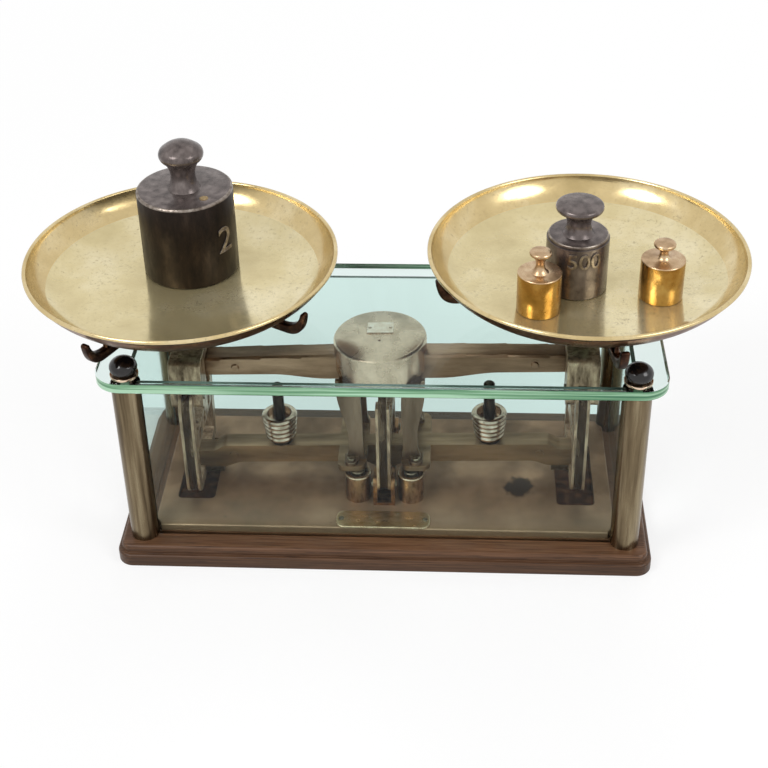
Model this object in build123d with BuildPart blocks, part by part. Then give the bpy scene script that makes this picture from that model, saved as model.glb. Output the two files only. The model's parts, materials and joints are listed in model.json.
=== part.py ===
from build123d import *
import math
import os

os.makedirs("parts", exist_ok=True)

# A two-pan torsion prescription balance under a plate glass case.
# Millimetres. X runs to the right, Y to the back, Z up.
# The origin is the middle of the plinth's underside.
# Everything is drawn with the beams level, and then set down at the resting tilt.

# ---- Case ----
plinth_length = 402.0
plinth_depth = 184.0
plinth_height = 16.6
plinth_corner = 12.0
moulding_inset = 3.2
moulding_height = 6.4
moulding_round = 3.0
bed_side_margin = 27.0
bed_front_margin = 23.2
bed_thickness = 6.0
bed_corner = 6.0
bed_round = 1.2
well_width = 29.0
well_length = 76.0
well_depth = 4.6
well_corner = 4.0
post_inset = 20.2
post_radius = 10.6
post_collar_radius = 11.6
post_collar_height = 2.2
glass_thickness = 9.0
glass_headroom = 4.8
glass_side_overhang = 22.5
glass_front_overhang = 11.4
glass_corner = 20.0
glass_bevel = 0.9
glass_hole_radius = 11.0
pane_thickness = 3.0
pane_groove_depth = 2.4
pane_clearance = 0.2
rod_radius = 3.0
rod_clearance = 0.4
nut_radius = 6.5
nut_height = 5.0
nut_recess_clearance = 1.0
washer_radius = 10.2
washer_height = 2.0
cap_radius = 10.0
cap_height = 13.0

# ---- Name plate, left bare ----
name_plate_length = 72.0
name_plate_width = 19.0
name_plate_height = 1.4
name_plate_end_radius = 7.0
name_plate_from_front = 9.0
name_screw_inset = 4.2
name_screw_radius = 2.0

# ---- Trusses and their bands ----
beam_reach = 146.8
resting_tilt = 1.5
truss_depth = 85.0
truss_height = 92.0
truss_width = 10.5
truss_bar = 9.0
truss_corner = 11.0
truss_gap = 31.0
truss_above_bed = 9.4
centre_shoulder_drop = 9.5
strut_height = 15.0
strut_hole_radius = 4.6
groove_width = 6.4
groove_depth = 1.2
band_width = 6.0
band_thickness = 0.6
jaw_clearance = 0.3
jaw_length = 15.0
lower_jaw_reach = 18.0
jaw_width = 14.0
jaw_height = 5.2
jaw_screw_radius = 1.1
jaw_screw_head_radius = 1.9
jaw_screw_head_height = 1.6
jaw_screw_depth = 6.0

# ---- Centre truss feet ----
foot_cheek = 3.0
foot_length = 22.0
foot_height = 24.0
foot_base = 2.4
foot_bolt_radius = 1.5
foot_bolt_head_radius = 2.8
foot_bolt_head_height = 1.4

# ---- Upper beam ----
upper_width = 18.0
upper_end_height = 13.4
upper_mid_height = 20.8
upper_arch = 2.9
upper_top_above_band = 10.2
upper_deep_half = 42.0
upper_taper_end = 86.0
beam_overrun = 8.6
upper_rivet_reach = 112.6
upper_rivet_radius = 3.0
upper_rivet_height = 1.2

# ---- Lower beam ----
lower_width = 15.0
lower_height = 16.0
lower_above_band = 5.0
lower_end_drop = 5.0
lower_step_start = 124.0
lower_step_end = 137.0
lower_foot_start = 112.0
lower_boss_reach = 119.5
lower_boss_radius = 3.4
lower_boss_height = 1.4
lug_reach = 24.5
lug_width = 22.0
lug_length = 68.0
lug_height = 4.5

# ---- Stops ----
stop_reach = 20.4
stop_from_middle = 31.0
stop_radius = 9.6
stop_rim_radius = 10.3
stop_rim_height = 2.4
stop_height = 24.4
stop_wall = 2.4
stop_screw_radius = 4.0
stop_screw_head_radius = 5.4
stop_clearance = 0.05

# ---- High poise ----
drum_radius = 35.0
drum_wall = 3.0
drum_height = 26.0
drum_crown = 1.6
drum_round = 3.0
drum_above_band = 0.9
drum_slot_clearance = 2.2
drum_plate_length = 20.0
drum_plate_width = 14.0
drum_plate_height = 0.8
drum_plate_back = 8.0
drum_rivet_radius = 1.1
drum_vent_radius = 1.0
leg_thickness = 4.0
leg_from_middle = 23.0
leg_waist_inner = 15.2
leg_waist_width = 11.0
leg_waist_height = 19.0
leg_foot_spread = 4.0
leg_top_inner = 17.6
leg_top_outer = 33.5
leg_foot_height = 3.0
leg_eye_reach = 24.6
leg_eye_radius = 5.3
leg_pad_height = 3.0
leg_pad_length = 13.0
leg_screw_radius = 1.3
leg_screw_head_radius = 3.2
leg_screw_head_height = 1.6

# ---- Poise studs and their ribbed weights ----
stud_reach = 81.2
stud_radius = 4.3
stud_height = 50.5
stud_collar_radius = 8.0
stud_collar_height = 4.4
poise_radius = 14.0
poise_foot_radius = 11.6
poise_height = 22.0
poise_ribs = 5
poise_rib_depth = 1.5
poise_cup_radius = 9.6
poise_cup_depth = 6.0
poise_clearance = 0.08

# ---- Yokes, pan posts and pan brackets ----
yoke_width = 24.0
yoke_depth = 66.0
yoke_drop = 16.0
yoke_crown = 9.0
yoke_window_clearance = 3.4
yoke_round = 6.0
yoke_bolt_radius = 1.6
yoke_bolt_head_radius = 3.0
yoke_bolt_head_height = 1.5
pan_post_radius = 6.0
pan_post_collar_radius = 9.0
pan_post_collar_height = 4.0
hub_radius = 15.0
hub_height = 11.0
arm_count = 4
arm_width = 6.4
arm_round = 1.6
arm_root_depth = 8.4
arm_low_depth = 7.0
arm_tip_depth = 4.2
arm_reach = 107.5
arm_low_reach = 93.0
arm_low_below_pan = 10.0
arm_tip_above_low = 14.5
prong_radius = 2.2
prong_reach = 88.5
left_arm_angle = 331.0
right_arm_angle = 280.0

# ---- Pans ----
pan_radius = 114.3
pan_floor_radius = 87.0
pan_depth = 23.0
pan_sheet = 1.0
pan_roll_radius = 1.6
pan_above_glass = 61.0
pan_seat_gap = 0.3

# ---- Loose weights ----
weight_seat_gap = 0.1
iron_two_radius = 35.0
iron_two_height = 66.0
iron_two_neck_radius = 9.1
iron_two_neck_foot = 12.0
iron_two_knob_radius = 16.2
iron_two_knob_depth = 10.0
iron_two_dome = 5.0
iron_two_top = 37.0
iron_two_at = (3.5, 20.0)
iron_half_radius = 22.0
iron_half_height = 43.0
iron_half_neck_radius = 8.4
iron_half_neck_foot = 11.4
iron_half_knob_radius = 16.8
iron_half_knob_depth = 5.0
iron_half_dome = 0.9
iron_half_top = 24.0
iron_half_groove = 0.8
iron_half_at = (-8.5, -14.0)
brass_radius = 15.4
brass_height = 30.0
brass_neck_radius = 3.0
brass_neck_foot = 6.2
brass_knob_radius = 7.7
brass_knob_depth = 3.0
brass_dome = 0.5
brass_left_top = 17.0
brass_right_top = 13.4
brass_left_at = (-36.0, -46.0)
brass_right_at = (50.0, -27.0)
plug_radius = 3.2
plug_depth = 3.0
plug_from_middle = 24.0

# ---- Levels and places that follow from the sizes ----
post_x = plinth_length / 2 - post_inset
post_y = plinth_depth / 2 - post_inset
bed_length = plinth_length - 2 * bed_side_margin
bed_depth = plinth_depth - 2 * bed_front_margin
bed_top = plinth_height + bed_thickness
truss_bottom = bed_top + truss_above_bed
truss_top = truss_bottom + truss_height
upper_band_level = truss_top - groove_depth + band_thickness / 2
lower_band_level = truss_bottom + groove_depth - band_thickness / 2
jaw_gap = band_thickness / 2 + jaw_clearance
upper_seat = upper_band_level + jaw_gap
lower_seat = lower_band_level + jaw_gap
upper_end_top = upper_band_level + upper_top_above_band
upper_mid_top = upper_end_top + upper_arch
upper_end_bottom = upper_end_top - upper_end_height
upper_mid_bottom = upper_mid_top - upper_mid_height
beam_end = beam_reach + beam_overrun
lower_bottom = lower_band_level + lower_above_band
lower_top = lower_bottom + lower_height
lug_bottom = lower_top - lug_height
drum_bottom = upper_band_level + drum_above_band
drum_top = drum_bottom + drum_height
yoke_window_top = upper_end_top + yoke_window_clearance
yoke_top = yoke_window_top + yoke_crown
yoke_bottom = truss_top - yoke_drop
end_rise = beam_reach * math.sin(math.radians(resting_tilt))
end_draw_in = beam_reach * (1 - math.cos(math.radians(resting_tilt)))
glass_underside = max(drum_top, yoke_top + end_rise) + glass_headroom
case_height = glass_underside + glass_thickness
pan_rim_level = case_height + pan_above_glass
pan_underside = pan_rim_level - pan_depth
pan_floor_top = pan_underside + pan_sheet
hub_top = pan_underside - pan_seat_gap
hub_bottom = hub_top - hub_height
arm_low_level = pan_underside - arm_low_below_pan
poise_bottom = lower_top + stud_collar_height
corner_signs = [(-1, -1), (1, -1), (-1, 1), (1, 1)]
corner_names = ["front_left", "front_right", "rear_left", "rear_right"]


# ---- Resting pose: the left side is down on its stop ----
def tilted_about(level):
    return Location((0, 0, level)) * Location((0, 0, 0), (0, -resting_tilt, 0)) * Location((0, 0, -level))


case_place = Location()
upper_place = tilted_about(upper_band_level)
lower_place = tilted_about(lower_band_level)
left_place = Location((end_draw_in, 0, -end_rise))
right_place = Location((-end_draw_in, 0, end_rise))


def upright(x, y, z):
    return Plane(origin=(x, y, z), x_dir=(1, 0, 0), z_dir=(0, -1, 0))


def keep(piece, name, place=case_place):
    placed = piece.moved(place)
    placed.label = name
    export_step(placed, f"parts/{name}.step")


# ---- Plinth ----
rod_hole = rod_radius + rod_clearance

with BuildPart() as plinth:
    with BuildSketch():
        RectangleRounded(plinth_length, plinth_depth, plinth_corner)
    extrude(amount=plinth_height - moulding_height)
    fillet(plinth.edges().group_by(Axis.Z)[-1], moulding_round * 0.7)
    with BuildSketch(Plane.XY.offset(plinth_height - moulding_height)):
        RectangleRounded(
            plinth_length - 2 * moulding_inset,
            plinth_depth - 2 * moulding_inset,
            plinth_corner - moulding_inset,
        )
    extrude(amount=moulding_height)
    fillet(plinth.edges().group_by(Axis.Z)[-1], moulding_round)
    with Locations([(sx * post_x, sy * post_y, 0) for sx, sy in corner_signs]):
        Hole(rod_hole)
    with Locations(Location((0, 0, 0), (180, 0, 0))):
        with Locations([(sx * post_x, sy * post_y, 0) for sx, sy in corner_signs]):
            CounterBoreHole(rod_hole, nut_radius + nut_recess_clearance, nut_height + nut_recess_clearance)
keep(plinth.part, "plinth")

# ---- Cast bed with a well under each end truss ----
with BuildPart() as bed_plate:
    with BuildSketch(Plane.XY.offset(plinth_height)):
        RectangleRounded(bed_length, bed_depth, bed_corner)
        with Locations([(sx * post_x, sy * post_y) for sx, sy in corner_signs]):
            Circle(post_collar_radius + pane_clearance * 3, mode=Mode.SUBTRACT)
    extrude(amount=bed_thickness)
    fillet(bed_plate.faces().sort_by(Axis.Z)[-1].edges(), bed_round)
    with BuildSketch(Plane.XY.offset(bed_top)):
        with Locations((-beam_reach, 0), (beam_reach, 0)):
            RectangleRounded(well_width, well_length, well_corner)
    extrude(amount=-well_depth, mode=Mode.SUBTRACT)
keep(bed_plate.part, "bed_plate")

name_plate_y = -bed_depth / 2 + name_plate_from_front
name_screw_x = name_plate_length / 2 - name_screw_inset

with BuildPart() as name_plate:
    with BuildSketch(Plane.XY.offset(bed_top)):
        with Locations((0, name_plate_y)):
            RectangleRounded(name_plate_length, name_plate_width, name_plate_end_radius)
    extrude(amount=name_plate_height)
    chamfer(name_plate.faces().sort_by(Axis.Z)[-1].edges(), name_plate_height * 0.4)
keep(name_plate.part, "name_plate")

with BuildPart() as name_plate_screws:
    for side in (-1, 1):
        with BuildSketch(Plane.XY.offset(bed_top + name_plate_height)):
            with Locations((side * name_screw_x, name_plate_y)):
                Circle(name_screw_radius)
        extrude(amount=name_screw_radius * 0.4, taper=25)
keep(name_plate_screws.part, "name_plate_screws")

# ---- Corner posts, grooved for the panes, drawn together by tie rods ----
groove_half = pane_thickness / 2 + pane_clearance
groove_floor = post_radius - pane_groove_depth

for (sx, sy), corner in zip(corner_signs, corner_names):
    with BuildPart() as post:
        with BuildSketch(Plane.XY.offset(plinth_height)):
            with Locations((sx * post_x, sy * post_y)):
                Circle(post_radius)
                Circle(rod_hole, mode=Mode.SUBTRACT)
        extrude(amount=glass_underside - plinth_height)
        with BuildSketch(Plane.XY.offset(plinth_height)):
            with Locations((sx * (post_x - groove_floor - post_radius / 2), sy * post_y)):
                Rectangle(post_radius, 2 * groove_half)
            with Locations((sx * post_x, sy * (post_y - groove_floor - post_radius / 2))):
                Rectangle(2 * groove_half, post_radius)
        extrude(amount=glass_underside - plinth_height, mode=Mode.SUBTRACT)
    keep(post.part, f"post_{corner}")

rod_bottom = nut_recess_clearance * 0.5
rod_top = case_height + washer_height + cap_height * 0.6

with BuildPart() as tie_rods:
    with BuildSketch(Plane.XY.offset(rod_bottom)):
        with Locations([(sx * post_x, sy * post_y) for sx, sy in corner_signs]):
            Circle(rod_radius)
    extrude(amount=rod_top - rod_bottom)
keep(tie_rods.part, "tie_rods")

with BuildPart() as tie_nuts:
    with BuildSketch(Plane.XY.offset(nut_recess_clearance)):
        with Locations([(sx * post_x, sy * post_y) for sx, sy in corner_signs]):
            RegularPolygon(nut_radius, 6)
            Circle(rod_radius, mode=Mode.SUBTRACT)
    extrude(amount=nut_height)
keep(tie_nuts.part, "tie_nuts")

with BuildPart() as post_washers:
    with BuildSketch(Plane.XY.offset(case_height)):
        with Locations([(sx * post_x, sy * post_y) for sx, sy in corner_signs]):
            Circle(washer_radius)
            Circle(rod_radius, mode=Mode.SUBTRACT)
    extrude(amount=washer_height)
keep(post_washers.part, "post_washers")

cap_seat = case_height + washer_height

with BuildPart() as post_caps:
    for sx, sy in corner_signs:
        with BuildSketch(upright(sx * post_x, sy * post_y, cap_seat)):
            with BuildLine():
                Polyline(
                    (0, cap_height),
                    (0, cap_height * 0.6),
                    (rod_radius, cap_height * 0.6),
                    (rod_radius, 0),
                    (cap_radius * 0.72, 0),
                )
                ThreePointArc(
                    (cap_radius * 0.72, 0),
                    (cap_radius, cap_height * 0.35),
                    (cap_radius * 0.86, cap_height * 0.7),
                )
                TangentArc((0, cap_height), (cap_radius * 0.86, cap_height * 0.7), tangent=(1, 0))
            make_face()
        revolve(axis=Axis((sx * post_x, sy * post_y, 0), (0, 0, 1)))
keep(post_caps.part, "post_caps")

# ---- Plate glass top and the four panes ----
glass_length = 2 * (post_x + glass_side_overhang)
glass_depth = 2 * (post_y + glass_front_overhang)

with BuildPart() as top_glass:
    with BuildSketch(Plane.XY.offset(glass_underside)):
        RectangleRounded(glass_length, glass_depth, glass_corner)
    extrude(amount=glass_thickness)
    chamfer(top_glass.faces().sort_by(Axis.Z)[-1].edges(), glass_bevel)
    chamfer(top_glass.faces().sort_by(Axis.Z)[0].edges(), glass_bevel)
    with Locations([(sx * post_x, sy * post_y, case_height) for sx, sy in corner_signs]):
        Hole(rod_hole)
    with Locations((-beam_reach, 0, case_height), (beam_reach, 0, case_height)):
        Hole(glass_hole_radius)
keep(top_glass.part, "top_glass")

pane_height = glass_underside - plinth_height - pane_clearance
long_pane = 2 * (post_x - groove_floor - pane_clearance)
short_pane = 2 * (post_y - groove_floor - pane_clearance)

for side, name in ((-1, "front_pane"), (1, "rear_pane")):
    with BuildPart() as pane:
        with BuildSketch(Plane.XY.offset(plinth_height)):
            with Locations((0, side * post_y)):
                Rectangle(long_pane, pane_thickness)
        extrude(amount=pane_height)
    keep(pane.part, name)

for side, name in ((-1, "left_pane"), (1, "right_pane")):
    with BuildPart() as pane:
        with BuildSketch(Plane.XY.offset(plinth_height)):
            with Locations((side * post_x, 0)):
                Rectangle(pane_thickness, short_pane)
        extrude(amount=pane_height)
    keep(pane.part, name)


# ---- A truss: two hooked saddles joined by a strut, with a band stretched round it ----
def truss_frame(x):
    middle = (truss_bottom + truss_top) / 2
    with BuildPart() as frame:
        with BuildSketch(Plane.YZ.offset(x - truss_width / 2)):
            with Locations((0, middle)):
                RectangleRounded(truss_depth, truss_height, truss_corner)
                RectangleRounded(
                    truss_depth - 2 * truss_bar,
                    truss_height - 2 * truss_bar,
                    truss_corner - truss_bar,
                    mode=Mode.SUBTRACT,
                )
                Rectangle(truss_gap, truss_height, mode=Mode.SUBTRACT)
                Rectangle(truss_depth - truss_bar, strut_height)
                Circle(strut_hole_radius, mode=Mode.SUBTRACT)
                with Locations((truss_depth / 4, 0), (-truss_depth / 4, 0)):
                    Circle(strut_hole_radius, mode=Mode.SUBTRACT)
        extrude(amount=truss_width)
        with BuildSketch(Plane.YZ.offset(x - groove_width / 2)):
            with Locations((0, middle)):
                RectangleRounded(truss_depth + 2, truss_height + 2, truss_corner + 1)
                RectangleRounded(
                    truss_depth - 2 * groove_depth,
                    truss_height - 2 * groove_depth,
                    truss_corner - groove_depth,
                    mode=Mode.SUBTRACT,
                )
        extrude(amount=groove_width, mode=Mode.SUBTRACT)
    return frame.part


def truss_band(x):
    middle = (truss_bottom + truss_top) / 2
    inset = groove_depth
    outset = groove_depth - band_thickness
    with BuildPart() as band:
        with BuildSketch(Plane.YZ.offset(x - band_width / 2)):
            with Locations((0, middle)):
                RectangleRounded(truss_depth - 2 * outset, truss_height - 2 * outset, truss_corner - outset)
                RectangleRounded(
                    truss_depth - 2 * inset,
                    truss_height - 2 * inset,
                    truss_corner - inset,
                    mode=Mode.SUBTRACT,
                )
        extrude(amount=band_width)
    return band.part


centre_truss = truss_frame(0)
foot_bolt_reach = (truss_corner - truss_bar * 0.6) * math.cos(math.radians(45))
foot_bolt_y = truss_depth / 2 - truss_corner + foot_bolt_reach
foot_bolt_z = truss_bottom + truss_corner - foot_bolt_reach
centre_shoulder = truss_top - centre_shoulder_drop
flange_width = (truss_width - groove_width) / 2
with BuildPart() as centre_frame:
    add(centre_truss)
    with BuildSketch(Plane.XY.offset(centre_shoulder)):
        with Locations([(side * (truss_width - flange_width) / 2, 0) for side in (-1, 1)]):
            Rectangle(flange_width, truss_depth)
    extrude(amount=centre_shoulder_drop, mode=Mode.SUBTRACT)
    with Locations([Location((0, side * foot_bolt_y, foot_bolt_z), (0, 90, 0)) for side in (-1, 1)]):
        Hole(foot_bolt_radius)
keep(centre_frame.part, "centre_truss")
keep(truss_band(0), "centre_band")

# ---- Two cheeked feet that hold the centre truss on the bed ----
foot_width = truss_width + 2 * foot_cheek
foot_middle_y = truss_depth / 2 - foot_length / 2

for side, name in ((-1, "foot_front"), (1, "foot_rear")):
    with BuildPart() as foot:
        with BuildSketch(Plane.XY.offset(bed_top)):
            with Locations((0, side * foot_middle_y)):
                Rectangle(foot_width, foot_length)
        extrude(amount=foot_height)
        fillet(foot.edges().filter_by(Axis.X).group_by(Axis.Z)[-1], foot_length * 0.3)
        with BuildSketch(Plane.XY.offset(bed_top + foot_base)):
            with Locations((0, side * foot_middle_y)):
                Rectangle(truss_width, foot_length)
        extrude(amount=foot_height, mode=Mode.SUBTRACT)
        with Locations(Location((0, side * foot_bolt_y, foot_bolt_z), (0, 90, 0))):
            Hole(foot_bolt_radius)
    keep(foot.part, name)

with BuildPart() as foot_bolts:
    for side in (-1, 1):
        for head in (-1, 1):
            with BuildSketch(Plane.YZ.offset(head * foot_width / 2)):
                with Locations((side * foot_bolt_y, foot_bolt_z)):
                    Circle(foot_bolt_head_radius)
            extrude(amount=head * foot_bolt_head_height)
        with BuildSketch(Plane.YZ.offset(-foot_width / 2)):
            with Locations((side * foot_bolt_y, foot_bolt_z)):
                Circle(foot_bolt_radius)
        extrude(amount=foot_width)
keep(foot_bolts.part, "foot_bolts")

# ---- Stop pillars under the lower beam's lugs, each with its adjusting screw ----
stop_top = bed_top + stop_height
stop_drop = (stop_reach + stop_screw_head_radius) * math.sin(math.radians(resting_tilt))
stop_screw_top = lug_bottom - stop_drop - stop_clearance

for side, name in ((-1, "left"), (1, "right")):
    with BuildPart() as pillar:
        with BuildSketch(Plane.XY.offset(bed_top)):
            with Locations((side * stop_reach, -stop_from_middle)):
                Circle(stop_radius)
        extrude(amount=stop_height - stop_rim_height)
        with BuildSketch(Plane.XY.offset(stop_top - stop_rim_height)):
            with Locations((side * stop_reach, -stop_from_middle)):
                Circle(stop_rim_radius)
        extrude(amount=stop_rim_height)
        chamfer(pillar.faces().sort_by(Axis.Z)[-1].edges(), stop_rim_height * 0.25)
        with BuildSketch(Plane.XY.offset(stop_top)):
            with Locations((side * stop_reach, -stop_from_middle)):
                Circle(stop_radius - stop_wall)
        extrude(amount=-stop_rim_height, mode=Mode.SUBTRACT)
        with Locations((side * stop_reach, -stop_from_middle, stop_top - stop_rim_height)):
            Hole(stop_screw_radius, depth=stop_height - stop_rim_height * 2)
    keep(pillar.part, f"stop_pillar_{name}")

with BuildPart() as stop_screws:
    with BuildSketch(Plane.XY.offset(bed_top + stop_rim_height)):
        with Locations((-stop_reach, -stop_from_middle), (stop_reach, -stop_from_middle)):
            Circle(stop_screw_radius)
    extrude(amount=stop_top - bed_top - 2 * stop_rim_height)
    with BuildSketch(Plane.XY.offset(stop_top - stop_rim_height)):
        with Locations((-stop_reach, -stop_from_middle), (stop_reach, -stop_from_middle)):
            Circle(stop_screw_head_radius)
    extrude(amount=stop_screw_top - stop_top + stop_rim_height)
    chamfer(stop_screws.edges().group_by(Axis.Z)[-1], stop_rim_height * 0.2)
keep(stop_screws.part, "stop_screws")

# ---- Upper beam: deep in the middle, shallow at the ends, arched on top ----
band_places = [-beam_reach, 0, beam_reach]

with BuildPart() as upper_beam:
    with BuildSketch(Plane.XZ.offset(-upper_width / 2)):
        with BuildLine():
            ThreePointArc((-beam_end, upper_end_top), (0, upper_mid_top), (beam_end, upper_end_top))
            Line((beam_end, upper_end_top), (beam_end, upper_end_bottom))
            Line((beam_end, upper_end_bottom), (upper_taper_end, upper_end_bottom))
            Spline(
                (upper_taper_end, upper_end_bottom),
                (upper_deep_half, upper_mid_bottom),
                tangents=[(-1, 0), (-1, 0)],
            )
            Line((upper_deep_half, upper_mid_bottom), (-upper_deep_half, upper_mid_bottom))
            Spline(
                (-upper_deep_half, upper_mid_bottom),
                (-upper_taper_end, upper_end_bottom),
                tangents=[(-1, 0), (-1, 0)],
            )
            Line((-upper_taper_end, upper_end_bottom), (-beam_end, upper_end_bottom))
            Line((-beam_end, upper_end_bottom), (-beam_end, upper_end_top))
        make_face()
    extrude(amount=upper_width)
    fillet(upper_beam.faces().sort_by(Axis.Z)[-1].edges(), upper_width * 0.12)
    with BuildSketch(Plane.XY.offset(upper_seat)):
        with Locations([(x, 0) for x in band_places]):
            Rectangle(jaw_length, upper_width)
        with Locations((-beam_end, 0), (beam_end, 0)):
            Rectangle(2 * beam_overrun, upper_width)
    extrude(amount=-upper_mid_height, mode=Mode.SUBTRACT)
    for x in band_places:
        with BuildSketch(Plane.XY.offset(upper_seat)):
            with Locations((x - jaw_length * 0.36, 0), (x + jaw_length * 0.36, 0)):
                Circle(jaw_screw_radius)
        extrude(amount=jaw_screw_depth, mode=Mode.SUBTRACT)
    for side in (-1, 1):
        with BuildSketch(Plane.XZ.offset(upper_width / 2)):
            with Locations((side * upper_rivet_reach, (upper_end_top + upper_end_bottom) / 2)):
                Circle(upper_rivet_radius)
        extrude(amount=upper_rivet_height, taper=30)
keep(upper_beam.part, "upper_beam", upper_place)


# ---- Band jaws: channelled plates screwed up against the beam on each side of the band ----
def band_jaws(seat, inner_reach=jaw_length / 2):
    with BuildPart() as jaws:
        with BuildSketch(Plane.XY.offset(seat)):
            with Locations([(x, 0) for x in band_places]):
                Rectangle(jaw_length, jaw_width)
            for side in (-1, 1):
                with Locations((side * (beam_reach - inner_reach / 2), 0)):
                    Rectangle(inner_reach, jaw_width)
        extrude(amount=-jaw_height)
        with BuildSketch(Plane.XY.offset(seat)):
            with Locations([(x, 0) for x in band_places]):
                Rectangle(band_width + 2 * jaw_clearance, jaw_width)
        extrude(amount=-2 * jaw_gap, mode=Mode.SUBTRACT)
        with BuildSketch(Plane.XY.offset(seat)):
            for x in band_places:
                with Locations((x - jaw_length * 0.36, 0), (x + jaw_length * 0.36, 0)):
                    Circle(jaw_screw_radius)
        extrude(amount=-jaw_height, mode=Mode.SUBTRACT)
    return jaws.part


def jaw_screws(seat):
    with BuildPart() as screws:
        for x in band_places:
            for side in (-1, 1):
                with BuildSketch(Plane.XY.offset(seat - jaw_height)):
                    with Locations((x + side * jaw_length * 0.36, 0)):
                        Circle(jaw_screw_head_radius)
                extrude(amount=-jaw_screw_head_height)
                with BuildSketch(Plane.XY.offset(seat - jaw_height)):
                    with Locations((x + side * jaw_length * 0.36, 0)):
                        Circle(jaw_screw_radius)
                extrude(amount=jaw_height + jaw_screw_depth)
    return screws.part


keep(band_jaws(upper_seat), "upper_jaws", upper_place)
keep(jaw_screws(upper_seat), "upper_jaw_screws", upper_place)

# ---- Lower beam: a bar with cross lugs for the high poise and the stops ----
lower_end_top = lower_top - lower_end_drop
leg_screw_y = leg_from_middle + leg_thickness / 2 + leg_screw_head_radius + jaw_clearance

with BuildPart() as lower_beam:
    with BuildSketch(Plane.XZ.offset(-lower_width / 2)):
        with BuildLine():
            Line((-lower_step_start, lower_top), (lower_step_start, lower_top))
            Line((-jaw_length / 2, lower_seat), (jaw_length / 2, lower_seat))
            for side in (-1, 1):
                Spline(
                    (side * lower_step_start, lower_top),
                    (side * lower_step_end, lower_end_top),
                    tangents=[(side, 0), (side, 0)],
                )
                Polyline(
                    (side * lower_step_end, lower_end_top),
                    (side * beam_end, lower_end_top),
                    (side * beam_end, lower_seat),
                    (side * (beam_reach - lower_jaw_reach), lower_seat),
                )
                Spline(
                    (side * (beam_reach - lower_jaw_reach), lower_seat),
                    (side * lower_foot_start, lower_bottom),
                    tangents=[(-side, 0), (-side, 0)],
                )
                Polyline(
                    (side * lower_foot_start, lower_bottom),
                    (side * jaw_length, lower_bottom),
                    (side * jaw_length / 2, lower_seat),
                )
        make_face()
    extrude(amount=lower_width)
    with BuildSketch(Plane.XY.offset(lug_bottom)):
        with Locations((-lug_reach, 0), (lug_reach, 0)):
            RectangleRounded(lug_width, lug_length, lug_width * 0.3)
    extrude(amount=lug_height)
    for side in (-1, 1):
        with BuildSketch(Plane.XZ.offset(lower_width / 2)):
            with Locations((side * lower_boss_reach, lower_bottom + lower_height * 0.45)):
                Circle(lower_boss_radius)
        extrude(amount=lower_boss_height, taper=15)
    for x in band_places:
        with BuildSketch(Plane.XY.offset(lower_seat)):
            with Locations((x - jaw_length * 0.36, 0), (x + jaw_length * 0.36, 0)):
                Circle(jaw_screw_radius)
        extrude(amount=jaw_screw_depth, mode=Mode.SUBTRACT)
    with BuildSketch(Plane.XY.offset(lug_bottom)):
        for sx, sy in corner_signs:
            with Locations((sx * leg_eye_reach, sy * leg_screw_y)):
                Circle(leg_screw_radius)
    extrude(amount=lug_height, mode=Mode.SUBTRACT)
keep(lower_beam.part, "lower_beam", lower_place)
keep(band_jaws(lower_seat, lower_jaw_reach), "lower_jaws", lower_place)
keep(jaw_screws(lower_seat), "lower_jaw_screws", lower_place)

# ---- High poise: an upturned cup on four legs, slotted for the upper beam ----
slot_width = upper_width + 2 * drum_slot_clearance
slot_top = upper_mid_top + drum_slot_clearance

with BuildPart() as drum:
    with BuildSketch(Plane.XY.offset(drum_bottom)):
        Circle(drum_radius)
    extrude(amount=drum_height - drum_crown)
    fillet(drum.faces().sort_by(Axis.Z)[-1].edges(), drum_round)
    with BuildSketch(Plane.XY.offset(drum_bottom)):
        Circle(drum_radius - drum_wall)
    extrude(amount=drum_height - drum_crown - drum_wall, mode=Mode.SUBTRACT)
    with BuildSketch(Plane.XY.offset(drum_top - drum_crown)):
        Circle(drum_radius - drum_round)
    extrude(amount=drum_crown * 0.45, taper=60)
    with BuildSketch(Plane.YZ.offset(-drum_radius)):
        with Locations((0, (drum_bottom + slot_top) / 2)):
            Rectangle(slot_width, slot_top - drum_bottom)
    extrude(amount=2 * drum_radius, mode=Mode.SUBTRACT)
    with Locations((0, -drum_plate_back, drum_top)):
        Hole(drum_vent_radius)
keep(drum.part, "high_poise", lower_place)

drum_plate_seat = drum_top - drum_crown + drum_crown * 0.45

with BuildPart() as poise_plate:
    with BuildSketch(Plane.XY.offset(drum_plate_seat)):
        with Locations((0, drum_plate_back)):
            Rectangle(drum_plate_length, drum_plate_width)
    extrude(amount=drum_plate_height)
    for side in (-1, 1):
        with BuildSketch(Plane.XY.offset(drum_plate_seat + drum_plate_height)):
            with Locations((side * (drum_plate_length / 2 - 2 * drum_rivet_radius), drum_plate_back)):
                Circle(drum_rivet_radius)
        extrude(amount=drum_rivet_radius * 0.6, taper=20)
keep(poise_plate.part, "poise_plate", lower_place)

leg_foot_z = lower_top
leg_top_z = drum_bottom
leg_waist_z = leg_foot_z + leg_waist_height
leg_waist_outer = leg_waist_inner + leg_waist_width
leg_pad_reach = math.sqrt((drum_radius - drum_wall / 2) ** 2 - leg_from_middle**2)
leg_eye_back = leg_from_middle - leg_thickness / 2

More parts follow.
